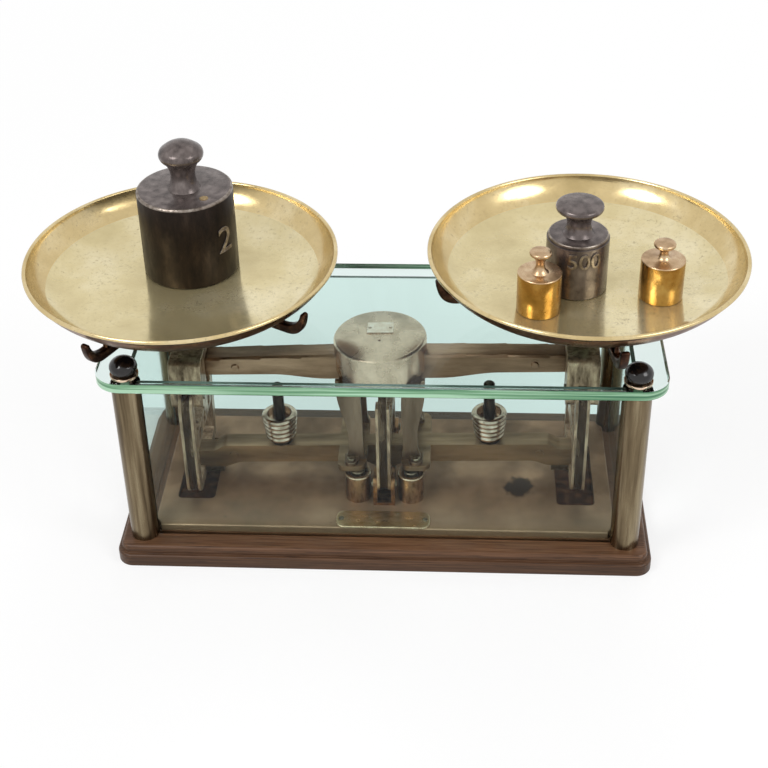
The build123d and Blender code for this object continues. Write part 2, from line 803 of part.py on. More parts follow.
for sy, name in ((-1, "front"), (1, "rear")):
    with BuildPart() as legs:
        for sx in (-1, 1):
            foot_inner = sx * (leg_waist_inner - leg_foot_spread / 2)
            foot_outer = sx * (leg_waist_outer + leg_foot_spread)
            with BuildSketch(Plane.XZ.offset(-sy * leg_from_middle - leg_thickness / 2)):
                with BuildLine():
                    Line((foot_outer, leg_foot_z), (foot_inner, leg_foot_z))
                    Spline(
                        (foot_inner, leg_foot_z),
                        (sx * leg_waist_inner, leg_waist_z),
                        (sx * leg_top_inner, leg_top_z),
                        tangents=[(sx * 0.5, 1), (0, 1), (sx * 0.3, 1)],
                    )
                    Line((sx * leg_top_inner, leg_top_z), (sx * leg_top_outer, leg_top_z))
                    Spline(
                        (sx * leg_top_outer, leg_top_z),
                        (sx * leg_waist_outer, leg_waist_z),
                        (foot_outer, leg_foot_z),
                        tangents=[(0, -1), (0, -1), (sx * 0.8, -1)],
                    )
                make_face()
            extrude(amount=leg_thickness)
            with BuildSketch(Plane.XY.offset(leg_foot_z)):
                with Locations((sx * leg_eye_reach, sy * leg_screw_y)):
                    Circle(leg_eye_radius)
                with Locations((sx * leg_eye_reach, sy * (leg_screw_y + leg_eye_back) / 2)):
                    Rectangle(2 * leg_eye_radius, leg_screw_y - leg_eye_back)
            extrude(amount=leg_foot_height)
            with BuildSketch(Plane.XY.offset(leg_top_z)):
                with Locations((sx * leg_pad_reach, sy * leg_from_middle)):
                    RectangleRounded(leg_pad_length, leg_pad_length, leg_pad_length * 0.3)
            extrude(amount=-leg_pad_height)
            with BuildSketch(Plane.XY.offset(leg_foot_z)):
                with Locations((sx * leg_eye_reach, sy * leg_screw_y)):
                    Circle(leg_screw_radius)
            extrude(amount=leg_foot_height, mode=Mode.SUBTRACT)
    keep(legs.part, f"poise_legs_{name}", lower_place)

with BuildPart() as leg_screws:
    for sx, sy in corner_signs:
        with BuildSketch(Plane.XY.offset(leg_foot_z + leg_foot_height)):
            with Locations((sx * leg_eye_reach, sy * leg_screw_y)):
                Circle(leg_screw_head_radius)
        extrude(amount=leg_screw_head_height, taper=12)
        with BuildSketch(Plane.XY.offset(lug_bottom)):
            with Locations((sx * leg_eye_reach, sy * leg_screw_y)):
                Circle(leg_screw_radius)
        extrude(amount=leg_foot_z + leg_foot_height - lug_bottom)
keep(leg_screws.part, "leg_screws", lower_place)

# ---- Poise studs and ribbed sliding weights on the lower beam ----
rib_pitch = poise_height / poise_ribs
rib_step = (poise_radius - poise_foot_radius) / poise_ribs

for side, name in ((-1, "left"), (1, "right")):
    stud_axis = Axis((side * stud_reach, 0, 0), (0, 0, 1))
    with BuildPart() as stud:
        with BuildSketch(Plane.XY.offset(lower_top)):
            with Locations((side * stud_reach, 0)):
                Circle(stud_radius)
        extrude(amount=stud_height)
        chamfer(stud.faces().sort_by(Axis.Z)[-1].edges(), stud_radius * 0.3)
        with BuildSketch(Plane.XY.offset(lower_top)):
            with Locations((side * stud_reach, 0)):
                Circle(stud_collar_radius)
        extrude(amount=stud_collar_height - pan_seat_gap)
    keep(stud.part, f"poise_stud_{name}", lower_place)

    bore = stud_radius + poise_clearance
    with BuildPart() as poise:
        with BuildSketch(upright(side * stud_reach, 0, poise_bottom)):
            with BuildLine():
                Line((bore, 0), (poise_foot_radius - poise_rib_depth, 0))
                for rib in range(poise_ribs):
                    low = rib * rib_pitch
                    foot = poise_foot_radius - poise_rib_depth + rib_step * rib
                    ThreePointArc(
                        (foot, low),
                        (foot + rib_step / 2 + poise_rib_depth, low + rib_pitch / 2),
                        (foot + rib_step, low + rib_pitch),
                    )
                Polyline(
                    (poise_radius - poise_rib_depth, poise_height),
                    (poise_cup_radius, poise_height),
                    (poise_cup_radius - 1, poise_height - poise_cup_depth),
                    (bore, poise_height - poise_cup_depth),
                    (bore, 0),
                )
            make_face()
        revolve(axis=stud_axis)
    keep(poise.part, f"poise_weight_{name}", lower_place)

# ---- End trusses: truss, band, yoke, pan post and pan bracket ----
yoke_window = upper_width + 2 * yoke_window_clearance
yoke_bolt_y = truss_depth / 2 - truss_bar * 1.6
yoke_bolt_z = truss_top - (truss_bar + groove_depth) / 2


def yoke_at(x):
    with BuildPart() as yoke:
        with BuildSketch(Plane.YZ.offset(x - yoke_width / 2)):
            with Locations((0, (yoke_bottom + yoke_top) / 2)):
                RectangleRounded(yoke_depth, yoke_top - yoke_bottom, yoke_round)
            with Locations((0, (yoke_bottom + yoke_window_top) / 2)):
                Rectangle(yoke_window, yoke_window_top - yoke_bottom, mode=Mode.SUBTRACT)
        extrude(amount=yoke_width)
        with BuildSketch(Plane.XY.offset(yoke_bottom)):
            with Locations((x, 0)):
                Rectangle(truss_width, yoke_depth)
        extrude(amount=truss_top - yoke_bottom, mode=Mode.SUBTRACT)
        with Locations([Location((x, side * yoke_bolt_y, yoke_bolt_z), (0, 90, 0)) for side in (-1, 1)]):
            Hole(yoke_bolt_radius)
    return yoke.part


def yoke_bolts_at(x):
    with BuildPart() as bolts:
        for side in (-1, 1):
            for head in (-1, 1):
                with BuildSketch(Plane.YZ.offset(x + head * yoke_width / 2)):
                    with Locations((side * yoke_bolt_y, yoke_bolt_z)):
                        Circle(yoke_bolt_head_radius)
                extrude(amount=head * yoke_bolt_head_height)
            with BuildSketch(Plane.YZ.offset(x - yoke_width / 2)):
                with Locations((side * yoke_bolt_y, yoke_bolt_z)):
                    Circle(yoke_bolt_radius)
            extrude(amount=yoke_width)
    return bolts.part


def drilled_truss(x):
    with BuildPart() as drilled:
        add(truss_frame(x))
        with Locations([Location((x, side * yoke_bolt_y, yoke_bolt_z), (0, 90, 0)) for side in (-1, 1)]):
            Hole(yoke_bolt_radius)
    return drilled.part


def pan_post_at(x):
    with BuildPart() as pan_post:
        with BuildSketch(Plane.XY.offset(yoke_top)):
            with Locations((x, 0)):
                Circle(pan_post_radius)
        extrude(amount=hub_bottom - yoke_top)
        with BuildSketch(Plane.XY.offset(yoke_top)):
            with Locations((x, 0)):
                Circle(pan_post_collar_radius)
        extrude(amount=pan_post_collar_height)
        chamfer(pan_post.faces().group_by(Axis.Z)[1].edges(), pan_post_collar_height * 0.2)
    return pan_post.part


# A bracket arm leaves the hub, dips below the pan and turns up into a tapered hook outside it.
arm_root = hub_radius * 0.6
arm_root_bottom = hub_bottom + (hub_height - arm_root_depth) / 2
arm_low_bottom = arm_low_level - arm_low_depth / 2
arm_tip_level = arm_low_level + arm_tip_above_low
prong_rise = hub_top - arm_low_level

with BuildPart() as bracket_arm:
    with BuildSketch(Plane.XZ.offset(-arm_width / 2)):
        with BuildLine():
            Spline(
                (arm_root, arm_root_bottom),
                (arm_low_reach, arm_low_bottom),
                (arm_reach + arm_tip_depth / 2, arm_tip_level),
                tangents=[(1, 0), (1, 0), (0.1, 1)],
            )
            ThreePointArc(
                (arm_reach + arm_tip_depth / 2, arm_tip_level),
                (arm_reach, arm_tip_level + arm_tip_depth / 2),
                (arm_reach - arm_tip_depth / 2, arm_tip_level),
            )
            Spline(
                (arm_reach - arm_tip_depth / 2, arm_tip_level),
                (arm_low_reach - arm_low_depth / 2, arm_low_bottom + arm_low_depth),
                (arm_root, arm_root_bottom + arm_root_depth),
                tangents=[(-0.3, -1), (-1, 0), (-1, 0)],
            )
            Line((arm_root, arm_root_bottom + arm_root_depth), (arm_root, arm_root_bottom))
        make_face()
    extrude(amount=arm_width)
    fillet(bracket_arm.faces().filter_by(Axis.Y).edges(), arm_round)
    with Locations((prong_reach, 0, arm_low_level + prong_rise / 2)):
        Cone(prong_radius, prong_radius * 0.5, prong_rise)

with BuildPart() as pan_bracket:
    with BuildSketch(Plane.XY.offset(hub_bottom)):
        Circle(hub_radius)
    extrude(amount=hub_height)
    chamfer(pan_bracket.faces().sort_by(Axis.Z)[-1].edges(), hub_height * 0.15)
    with PolarLocations(0, arm_count):
        add(bracket_arm.part)


def bracket_at(x, first_angle):
    return pan_bracket.part.moved(Location((x, 0, 0), (0, 0, first_angle)))



for side, name, place, angle in (
    (-1, "left", left_place, left_arm_angle),
    (1, "right", right_place, right_arm_angle),
):
    x = side * beam_reach
    keep(drilled_truss(x), f"{name}_truss", place)
    keep(truss_band(x), f"{name}_band", place)
    keep(yoke_at(x), f"{name}_yoke", place)
    keep(yoke_bolts_at(x), f"{name}_yoke_bolts", place)
    keep(pan_post_at(x), f"{name}_pan_post", place)
    keep(bracket_at(x, angle), f"{name}_bracket", place)

# ---- Pans: spun dishes with a flat floor, a flared wall and a rolled rim ----
wall_run = pan_radius - pan_roll_radius - pan_floor_radius

for side, name, place in ((-1, "left_pan", left_place), (1, "right_pan", right_place)):
    with BuildPart() as pan:
        with BuildSketch(upright(side * beam_reach, 0, pan_underside)):
            with BuildLine():
                Line((0, 0), (pan_floor_radius, 0))
                ThreePointArc(
                    (pan_floor_radius, 0),
                    (pan_floor_radius + wall_run * 0.64, pan_depth * 0.36),
                    (pan_floor_radius + wall_run, pan_depth - pan_roll_radius),
                )
                Line(
                    (pan_floor_radius + wall_run, pan_depth - pan_roll_radius),
                    (pan_floor_radius + wall_run - pan_sheet, pan_depth - pan_roll_radius),
                )
                ThreePointArc(
                    (pan_floor_radius + wall_run - pan_sheet, pan_depth - pan_roll_radius),
                    (pan_floor_radius + wall_run * 0.64 - pan_sheet * 0.8, pan_depth * 0.36 + pan_sheet * 0.6),
                    (pan_floor_radius, pan_sheet),
                )
                Polyline((pan_floor_radius, pan_sheet), (0, pan_sheet), (0, 0))
            make_face()
            with Locations((pan_radius - pan_roll_radius, pan_depth - pan_roll_radius)):
                Circle(pan_roll_radius)
        revolve(axis=Axis((side * beam_reach, 0, 0), (0, 0, 1)))
    keep(pan.part, name, place)


# ---- Loose weights: a cylinder with a necked knob ----
def knob_weight(x, y, radius, height, neck, neck_foot, knob, knob_depth, dome, top, groove=0):
    base = pan_floor_top + weight_seat_gap
    edge = radius * 0.05
    ring = height + top - dome - knob_depth / 2
    knob_edge = knob - knob_depth * 0.3
    with BuildPart() as weight:
        with BuildSketch(upright(x, y, base)):
            with BuildLine():
                Polyline((0, height + top), (0, 0), (radius - edge, 0), (radius, edge))
                if groove:
                    Polyline(
                        (radius, edge),
                        (radius, height - 3.6 * groove),
                        (radius - groove * 1.6, height - 3.2 * groove),
                        (radius - groove, height - 2.6 * groove),
                        (radius - groove, height - edge),
                    )
                else:
                    Line((radius, edge), (radius, height - edge))
                Polyline((radius - groove, height - edge), (radius - groove - edge, height), (neck_foot, height))
                ThreePointArc(
                    (neck_foot, height),
                    (neck, height + top * 0.35),
                    (knob_edge, ring - knob_depth / 2),
                )
                ThreePointArc(
                    (knob_edge, ring - knob_depth / 2),
                    (knob, ring),
                    (knob_edge, ring + knob_depth / 2),
                )
                TangentArc((0, height + top), (knob_edge, ring + knob_depth / 2), tangent=(1, 0))
            make_face()
        revolve(axis=Axis((x, y, 0), (0, 0, 1)))
    return weight.part


plug_x = -beam_reach + iron_two_at[0] + plug_from_middle * 0.7
plug_y = iron_two_at[1] - plug_from_middle * 0.7
plug_top = pan_floor_top + weight_seat_gap + iron_two_height

with BuildPart() as weight_two:
    add(
        knob_weight(
            -beam_reach + iron_two_at[0],
            iron_two_at[1],
            iron_two_radius,
            iron_two_height,
            iron_two_neck_radius,
            iron_two_neck_foot,
            iron_two_knob_radius,
            iron_two_knob_depth,
            iron_two_dome,
            iron_two_top,
        )
    )
    with Locations((plug_x, plug_y, plug_top)):
        Hole(plug_radius, depth=plug_depth)
keep(weight_two.part, "weight_2000", left_place)

with BuildPart() as plug:
    with BuildSketch(Plane.XY.offset(plug_top - plug_depth)):
        with Locations((plug_x, plug_y)):
            Circle(plug_radius)
    extrude(amount=plug_depth * 0.8)
keep(plug.part, "weight_2000_plug", left_place)

keep(
    knob_weight(
        beam_reach + iron_half_at[0],
        iron_half_at[1],
        iron_half_radius,
        iron_half_height,
        iron_half_neck_radius,
        iron_half_neck_foot,
        iron_half_knob_radius,
        iron_half_knob_depth,
        iron_half_dome,
        iron_half_top,
        iron_half_groove,
    ),
    "weight_500",
    right_place,
)

for at, top, name in (
    (brass_left_at, brass_left_top, "weight_200_left"),
    (brass_right_at, brass_right_top, "weight_200_right"),
):
    keep(
        knob_weight(
            beam_reach + at[0],
            at[1],
            brass_radius,
            brass_height,
            brass_neck_radius,
            brass_neck_foot,
            brass_knob_radius,
            brass_knob_depth,
            brass_dome,
            top,
        ),
        name,
        right_place,
    )
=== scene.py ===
# Torsion prescription balance: two brass pans on linked beams in a glass case, with its weights.
import json
import math

import bmesh
import bpy
from mathutils import Matrix, Vector


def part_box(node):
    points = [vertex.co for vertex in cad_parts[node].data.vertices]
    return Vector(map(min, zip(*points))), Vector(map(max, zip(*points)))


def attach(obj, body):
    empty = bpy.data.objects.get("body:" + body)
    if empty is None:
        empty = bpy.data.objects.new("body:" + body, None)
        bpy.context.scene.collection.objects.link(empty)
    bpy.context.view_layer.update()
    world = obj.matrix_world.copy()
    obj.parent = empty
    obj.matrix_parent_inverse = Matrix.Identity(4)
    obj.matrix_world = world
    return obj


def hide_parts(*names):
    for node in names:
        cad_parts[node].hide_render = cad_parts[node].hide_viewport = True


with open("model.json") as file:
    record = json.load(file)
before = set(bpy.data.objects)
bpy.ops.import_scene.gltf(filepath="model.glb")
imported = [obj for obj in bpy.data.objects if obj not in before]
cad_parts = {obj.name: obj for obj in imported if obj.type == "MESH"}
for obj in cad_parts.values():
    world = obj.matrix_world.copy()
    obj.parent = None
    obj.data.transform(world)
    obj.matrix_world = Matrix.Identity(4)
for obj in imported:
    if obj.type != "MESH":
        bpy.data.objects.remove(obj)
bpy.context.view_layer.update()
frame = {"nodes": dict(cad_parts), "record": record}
mm = 0.001
print("frame loaded:", len(frame["nodes"]), "nodes")

viewPoint = {
    "place": (55.39, -918.19, 773.26),  # mm
    "yaw": -4.09,  # degrees, as pitch and roll
    "pitch": -33.33,
    "roll": -1.60,
    "lens": 69.69,
    "sensor": 36,
    "shiftX": 0.0186,
    "shiftY": -0.0875,
    "nearest": 0.01,  # m
}

studio = {
    "worldLevel": 0.56,
    "floorHalf": 6,  # m
    "floorColour": "#FFFFFF",
    "floorBounce": "#D9D6D0",
    "floorShine": 0.72,  # share of the floor seen as plain white, the rest keeps the shadow
    "fadeFrom": 0.45,  # m from the middle, where the floor starts to fade to plain white
    "fadeTo": 1.3,
    "lampAim": (0, 0, 0.12),
    "lamps": [
        # name, place in m, size in m, watts, seen in metal
        ("keyLamp", (-1.0, -0.9, 1.6), 0.8, 15.0, True),
        ("fillLamp", (1.3, -0.8, 1.3), 0.9, 10.0, True),
        ("backLamp", (0.3, 1.5, 1.5), 1.0, 8.0, False),
    ],
}


def linear(hexColour):
    # the standard curve from a screen's levels to linear light
    parts = [int(hexColour[i:i + 2], 16) / 255 for i in (1, 3, 5)]
    return (*[p / 12.92 if p <= 0.04045 else ((p + 0.055) / 1.055) ** 2.4 for p in parts], 1.0)


def addNode(tree, kind, settings=None, **links):
    # a setting is a property of the node, a socket's value ("in1" is socket 1) or a ramp's stops
    node = tree.nodes.new(kind)
    for key, value in (settings or {}).items():
        if key == "stops":
            cells = node.color_ramp.elements
            cells[0].position, cells[1].position = value[0][0], value[-1][0]
            for number, (at, shade) in enumerate(value):
                inner = 0 < number < len(value) - 1
                cell = cells.new(at) if inner else cells[0] if number == 0 else cells[-1]
                cell.color = linear(shade) if isinstance(shade, str) else (shade, shade, shade, 1)
        elif hasattr(node, key):
            setattr(node, key, value)
        else:
            node.inputs[int(key[2:]) if key.startswith("in") else key].default_value = value
    for key, source in links.items():
        socket = node.inputs[int(key[2:]) if key.startswith("in") else key.replace("_", " ")]
        tree.links.new(source, socket)
    return node


def addCamera():
    yaw, pitch, roll = (math.radians(viewPoint[key]) for key in ("yaw", "pitch", "roll"))
    level = math.cos(pitch)
    ahead = Vector((math.sin(yaw) * level, math.cos(yaw) * level, math.sin(pitch)))
    right = Vector((math.cos(yaw), -math.sin(yaw), 0))
    up = right.cross(ahead)
    rolledRight = right * math.cos(roll) + up * math.sin(roll)
    rolledUp = up * math.cos(roll) - right * math.sin(roll)
    data = bpy.data.cameras.new("photoCamera")
    data.lens = viewPoint["lens"]
    data.sensor_width = viewPoint["sensor"]
    data.sensor_fit = "HORIZONTAL"
    data.shift_x = viewPoint["shiftX"]
    data.shift_y = viewPoint["shiftY"]
    data.clip_start = viewPoint["nearest"]
    camera = bpy.data.objects.new("photoCamera", data)
    turn = Matrix((rolledRight, rolledUp, -ahead)).transposed().to_4x4()
    camera.matrix_world = Matrix.Translation(Vector(viewPoint["place"]) * mm) @ turn
    bpy.context.collection.objects.link(camera)
    bpy.context.scene.camera = camera


def seenRays(tree):
    # 1 where the eye looks, straight, in a mirror or through glass, and 0 for light that falls on
    # the object: such light has left a dull surface at least once
    path = addNode(tree, "ShaderNodeLightPath")
    mirror = addNode(tree, "ShaderNodeMath", {"operation": "MAXIMUM"},
                     in0=path.outputs["Is Camera Ray"], in1=path.outputs["Is Glossy Ray"])
    glass = addNode(tree, "ShaderNodeMath", {"operation": "MAXIMUM"},
                    in0=mirror.outputs[0], in1=path.outputs["Is Transmission Ray"])
    direct = addNode(tree, "ShaderNodeMath", {"operation": "LESS_THAN", "in1": 0.5},
                     in0=path.outputs["Diffuse Depth"])
    return addNode(tree, "ShaderNodeMath", {"operation": "MULTIPLY"},
                   in0=glass.outputs[0], in1=direct.outputs[0])


def addWorld():
    world = bpy.data.worlds.new("studioWorld")
    world.use_nodes = True
    tree = world.node_tree
    tree.nodes.clear()
    level = addNode(tree, "ShaderNodeMapRange", {"To Min": studio["worldLevel"], "To Max": 1.0},
                    Value=seenRays(tree).outputs[0])
    sky = addNode(tree, "ShaderNodeBackground", {"Color": linear("#FFFFFF")},
                  Strength=level.outputs[0])
    addNode(tree, "ShaderNodeOutputWorld", {}, Surface=sky.outputs[0])
    bpy.context.scene.world = world


def addLamps():
    for name, place, size, watts, inMetal in studio["lamps"]:
        data = bpy.data.lights.new(name, "AREA")
        data.shape = "DISK"
        data.size = size
        data.energy = watts
        lamp = bpy.data.objects.new(name, data)
        lamp.location = place
        aim = Vector(studio["lampAim"]) - Vector(place)
        lamp.rotation_euler = aim.to_track_quat("-Z", "Y").to_euler()
        lamp.visible_glossy = inMetal
        lamp.visible_transmission = False
        bpy.context.collection.objects.link(lamp)


def addFloor():
    sheet = bmesh.new()
    bmesh.ops.create_grid(sheet, x_segments=1, y_segments=1, size=studio["floorHalf"])
    mesh = bpy.data.meshes.new("studioFloor")
    sheet.to_mesh(mesh)
    sheet.free()
    floor = bpy.data.objects.new("studioFloor", mesh)
    bpy.context.collection.objects.link(floor)
    paper = bpy.data.materials.new("matWhitePaper")  # takes a soft shadow, no gloss
    paper.use_nodes = True
    tree = paper.node_tree
    tree.nodes.clear()
    seen = seenRays(tree)
    colour = addNode(tree, "ShaderNodeMix", {
        "data_type": "RGBA", "in6": linear(studio["floorBounce"]),
        "in7": linear(studio["floorColour"])}, in0=seen.outputs[0])
    matt = addNode(tree, "ShaderNodeBsdfDiffuse", {}, Color=colour.outputs[2])
    white = addNode(tree, "ShaderNodeEmission", {"Color": linear("#FFFFFF"), "Strength": 1.0})
    place = addNode(tree, "ShaderNodeTexCoord").outputs["Object"]
    away = addNode(tree, "ShaderNodeVectorMath", {"operation": "LENGTH"}, in0=place)
    fade = addNode(tree, "ShaderNodeMapRange", {
        "From Min": studio["fadeFrom"], "From Max": studio["fadeTo"],
        "To Min": studio["floorShine"]}, Value=away.outputs["Value"])
    share = addNode(tree, "ShaderNodeMath", {"operation": "MULTIPLY"},
                    in0=seen.outputs[0], in1=fade.outputs[0])
    both = addNode(tree, "ShaderNodeMixShader", {},
                   in0=share.outputs[0], in1=matt.outputs[0], in2=white.outputs[0])
    addNode(tree, "ShaderNodeOutputMaterial", {}, Surface=both.outputs[0])
    mesh.materials.append(paper)


addCamera()
addWorld()
addLamps()
addFloor()
bpy.context.scene.view_settings.view_transform = "Standard"
print("camera, floor and lamps set")


def newMaterial(name):
    # gives the material, its node tree, its shader and the piece's own coordinates
    material = bpy.data.materials.new(name)
    material.use_nodes = True
    tree = material.node_tree
    place = addNode(tree, "ShaderNodeTexCoord").outputs["Object"]
    return material, tree, tree.nodes["Principled BSDF"], place


def tonesOf(look, places, names):
    # a ramp's stops: the look's colours of these names at these places
    return [(at, look[name]) for at, name in zip(places, names)]


def finishSurface(tree, shader, wear, wearSpan, gloss, marks, depth, reliefMm):
    # roughness follows the wear pattern, and the marks stand out of the surface
    rough = addNode(tree, "ShaderNodeMapRange", {
        "From Min": wearSpan[0], "From Max": wearSpan[1],
        "To Min": gloss[0], "To Max": gloss[1]}, Value=wear.outputs[0])
    relief = addNode(tree, "ShaderNodeBump", {"Strength": depth, "Distance": reliefMm * mm},
                     Height=marks.outputs[0])
    tree.links.new(rough.outputs[0], shader.inputs["Roughness"])
    tree.links.new(relief.outputs[0], shader.inputs["Normal"])


# metals that have dulled with age: colours from dark tarnish to bare metal, the size of the dull
# patches, how they are drawn out along the piece, gloss from bright to dull, the size and depth of
# fine marks, and how much is bare metal where dust or lacquer covers some
metalLooks = {
    # nickel plate on drawn brass tube, gone brown: the soft streaks along the tube are painted
    # reflections
    "agedNickelTube": {
        "dark": "#4E4130", "mid": "#7A6B53", "light": "#A39579", "patchMm": 7.0,
        "drawn": (1.0, 1.0, 0.05), "gloss": (0.2, 0.36), "markMm": 0.9, "markDepth": 0.12,
    },
    # nickel plate on a machined drum, wiped clean: even pale grey, faint haze
    "agedNickelDrum": {
        "dark": "#BCA38C", "mid": "#DBC0A8", "light": "#F3D7C0", "patchMm": 24.0,
        "drawn": (1.0, 1.0, 1.0), "gloss": (0.2, 0.32), "markMm": 1.5, "markDepth": 0.08,
    },
    # nickel plate on a fine iron casting, dulled: grey-brown, brighter where it has been held
    "agedNickelBeam": {
        "dark": "#6A5343", "mid": "#957660", "light": "#B8957C", "patchMm": 16.0,
        "drawn": (0.16, 1.0, 1.0), "gloss": (0.3, 0.48), "markMm": 1.2, "markDepth": 0.16,
    },
    # the same plate on the slim legs, duller and browner: dark runs down their length
    "dulledNickelLeg": {
        "dark": "#4D3D31", "mid": "#705B4B", "light": "#957C69", "patchMm": 16.0,
        "drawn": (1.0, 1.0, 0.16), "gloss": (0.3, 0.48), "markMm": 1.2, "markDepth": 0.16,
    },
    # iron casting under worn nickel and old lacquer: browner, low shine, sand texture
    "lacqueredIronBeam": {
        "dark": "#5B4431", "mid": "#93775A", "light": "#BB9C79", "patchMm": 18.0,
        "drawn": (0.16, 1.0, 1.0), "gloss": (0.34, 0.55), "markMm": 1.1, "markDepth": 0.25,
        "metal": 0.8,
    },
    # the same casting upright: dark streaks where wet has run down it
    "wornNickelTruss": {
        "dark": "#5E4938", "mid": "#B0947A", "light": "#EBD0AF", "patchMm": 5.0,
        "drawn": (1.0, 1.0, 0.3), "gloss": (0.24, 0.5), "markMm": 1.0, "markDepth": 0.25,
        "metal": 0.6,
    },
    # the drum's little plate, wiped brighter than the drum
    "wipedNickelPlate": {
        "dark": "#E4CDB8", "mid": "#F6E2D0", "light": "#FDF0E4", "patchMm": 6.0,
        "drawn": (1.0, 1.0, 1.0), "gloss": (0.3, 0.42), "markMm": 0.8, "markDepth": 0.05,
    },
    # edges of the castings, partly worn through to bright metal, partly a painted highlight along
    # them
    "rubbedNickelAndHighlight": {
        "dark": "#B89C82", "mid": "#E0C7AC", "light": "#F2E0C8", "patchMm": 5.0,
        "drawn": (1.0, 1.0, 0.4), "gloss": (0.16, 0.3), "markMm": 1.0, "markDepth": 0.08,
    },
    # spring steel strip, its oven bluing gone brown: dark with tan patches, low shine
    "bluedSpringSteel": {
        "dark": "#2A1D15", "mid": "#4B3A2E", "light": "#7C6652", "patchMm": 5.0,
        "drawn": (1.0, 1.0, 0.2), "gloss": (0.2, 0.36), "markMm": 0.8, "markDepth": 0.06,
    },
    # turned steel screws and studs, dulled: grey with brown in the corners
    "turnedSteelScrew": {
        "dark": "#544A3C", "mid": "#857A68", "light": "#ABA18E", "patchMm": 2.4,
        "drawn": (1.0, 1.0, 1.0), "gloss": (0.24, 0.44), "markMm": 0.6, "markDepth": 0.15,
    },
    # cast brass feet, dark with age and reddened by the iron that they stand on
    "tarnishedBrassFoot": {
        "dark": "#583D2A", "mid": "#8A6346", "light": "#B88A60", "patchMm": 5.0,
        "drawn": (1.0, 1.0, 1.0), "gloss": (0.3, 0.5), "markMm": 0.9, "markDepth": 0.2,
    },
    # stamped brass plate under brown lacquer: olive, soft shine
    "lacqueredBrassPlate": {
        "dark": "#AA9169", "mid": "#D2B48C", "light": "#E9D0A8", "patchMm": 4.0,
        "drawn": (0.4, 1.0, 1.0), "gloss": (0.24, 0.4), "markMm": 0.7, "markDepth": 0.12,
    },
    # stop cups, plated castings worn to brown with a bright rim
    "wornStopCup": {
        "dark": "#55422F", "mid": "#987B61", "light": "#BFA284", "patchMm": 5.0,
        "drawn": (1.0, 1.0, 0.4), "gloss": (0.26, 0.48), "markMm": 0.9, "markDepth": 0.2,
    },
    # blackened steel stud: warm black, soft shine
    "blackenedSteelStud": {
        "dark": "#1B1613", "mid": "#342B25", "light": "#54483E", "patchMm": 3.0,
        "drawn": (1.0, 1.0, 0.3), "gloss": (0.26, 0.44), "markMm": 0.7, "markDepth": 0.12,
    },
    # turned brass under bright nickel: clean silver, sharp highlights in the ribs
    "brightNickelPoise": {
        "dark": "#8E7B6A", "mid": "#C2AD9A", "light": "#E6D2C3", "patchMm": 7.0,
        "drawn": (1.0, 1.0, 1.0), "gloss": (0.1, 0.22), "markMm": 0.8, "markDepth": 0.05,
    },
    # drawn steel post, wiped with oil: even brownish grey
    "oiledSteelPost": {
        "dark": "#544C40", "mid": "#7E7565", "light": "#A59C8B", "patchMm": 6.0,
        "drawn": (1.0, 1.0, 0.1), "gloss": (0.24, 0.42), "markMm": 0.9, "markDepth": 0.12,
    },
    # forged iron arms, coppered and browned: dark red-brown with a soft shine on their backs
    "brownedIronArm": {
        "dark": "#1F1410", "mid": "#3B271D", "light": "#62442F", "patchMm": 7.0,
        "drawn": (1.0, 1.0, 1.0), "gloss": (0.26, 0.46), "markMm": 1.2, "markDepth": 0.3,
    },
    # underside of the pans, the faces that point down: darker brown than the inside
    "brownedBrassUnder": {
        "dark": "#4B2F1B", "mid": "#714B2C", "light": "#9A7142", "patchMm": 20.0,
        "drawn": (1.0, 1.0, 1.0), "gloss": (0.24, 0.42), "markMm": 1.6, "markDepth": 0.12,
    },
    # floor and walls of the bed's wells: dark red-brown iron, a painted shade in the recesses
    "rustedIronWell": {
        "dark": "#2E1A12", "mid": "#52301F", "light": "#7A4E33", "patchMm": 6.0,
        "drawn": (1.0, 1.0, 1.0), "gloss": (0.5, 0.7), "markMm": 1.0, "markDepth": 0.4,
    },
    # soft metal plug hammered into its hole: tan and dented
    "hammeredBrassPlug": {
        "dark": "#7A6545", "mid": "#A58C62", "light": "#C4AC80", "patchMm": 1.6,
        "drawn": (1.0, 1.0, 1.0), "gloss": (0.3, 0.5), "markMm": 0.9, "markDepth": 0.4,
    },
    # tops of the brass weights: pinkish where the polish has gone
    "dulledBrassTop": {
        "dark": "#A48766", "mid": "#C3A582", "light": "#D8C09E", "patchMm": 8.0,
        "drawn": (1.0, 1.0, 1.0), "gloss": (0.22, 0.38), "markMm": 0.6, "markDepth": 0.05,
    },
}

# what all the dulled metals share
dulledForm = {
    "tonesAt": (0.3, 0.5, 0.72),
    "markShade": [(0.3, 0.62), (0.55, 1.0)],
    "markShare": 0.35,
    "patchSpan": (0.68, 0.32),
    "reliefMm": 0.08,
}


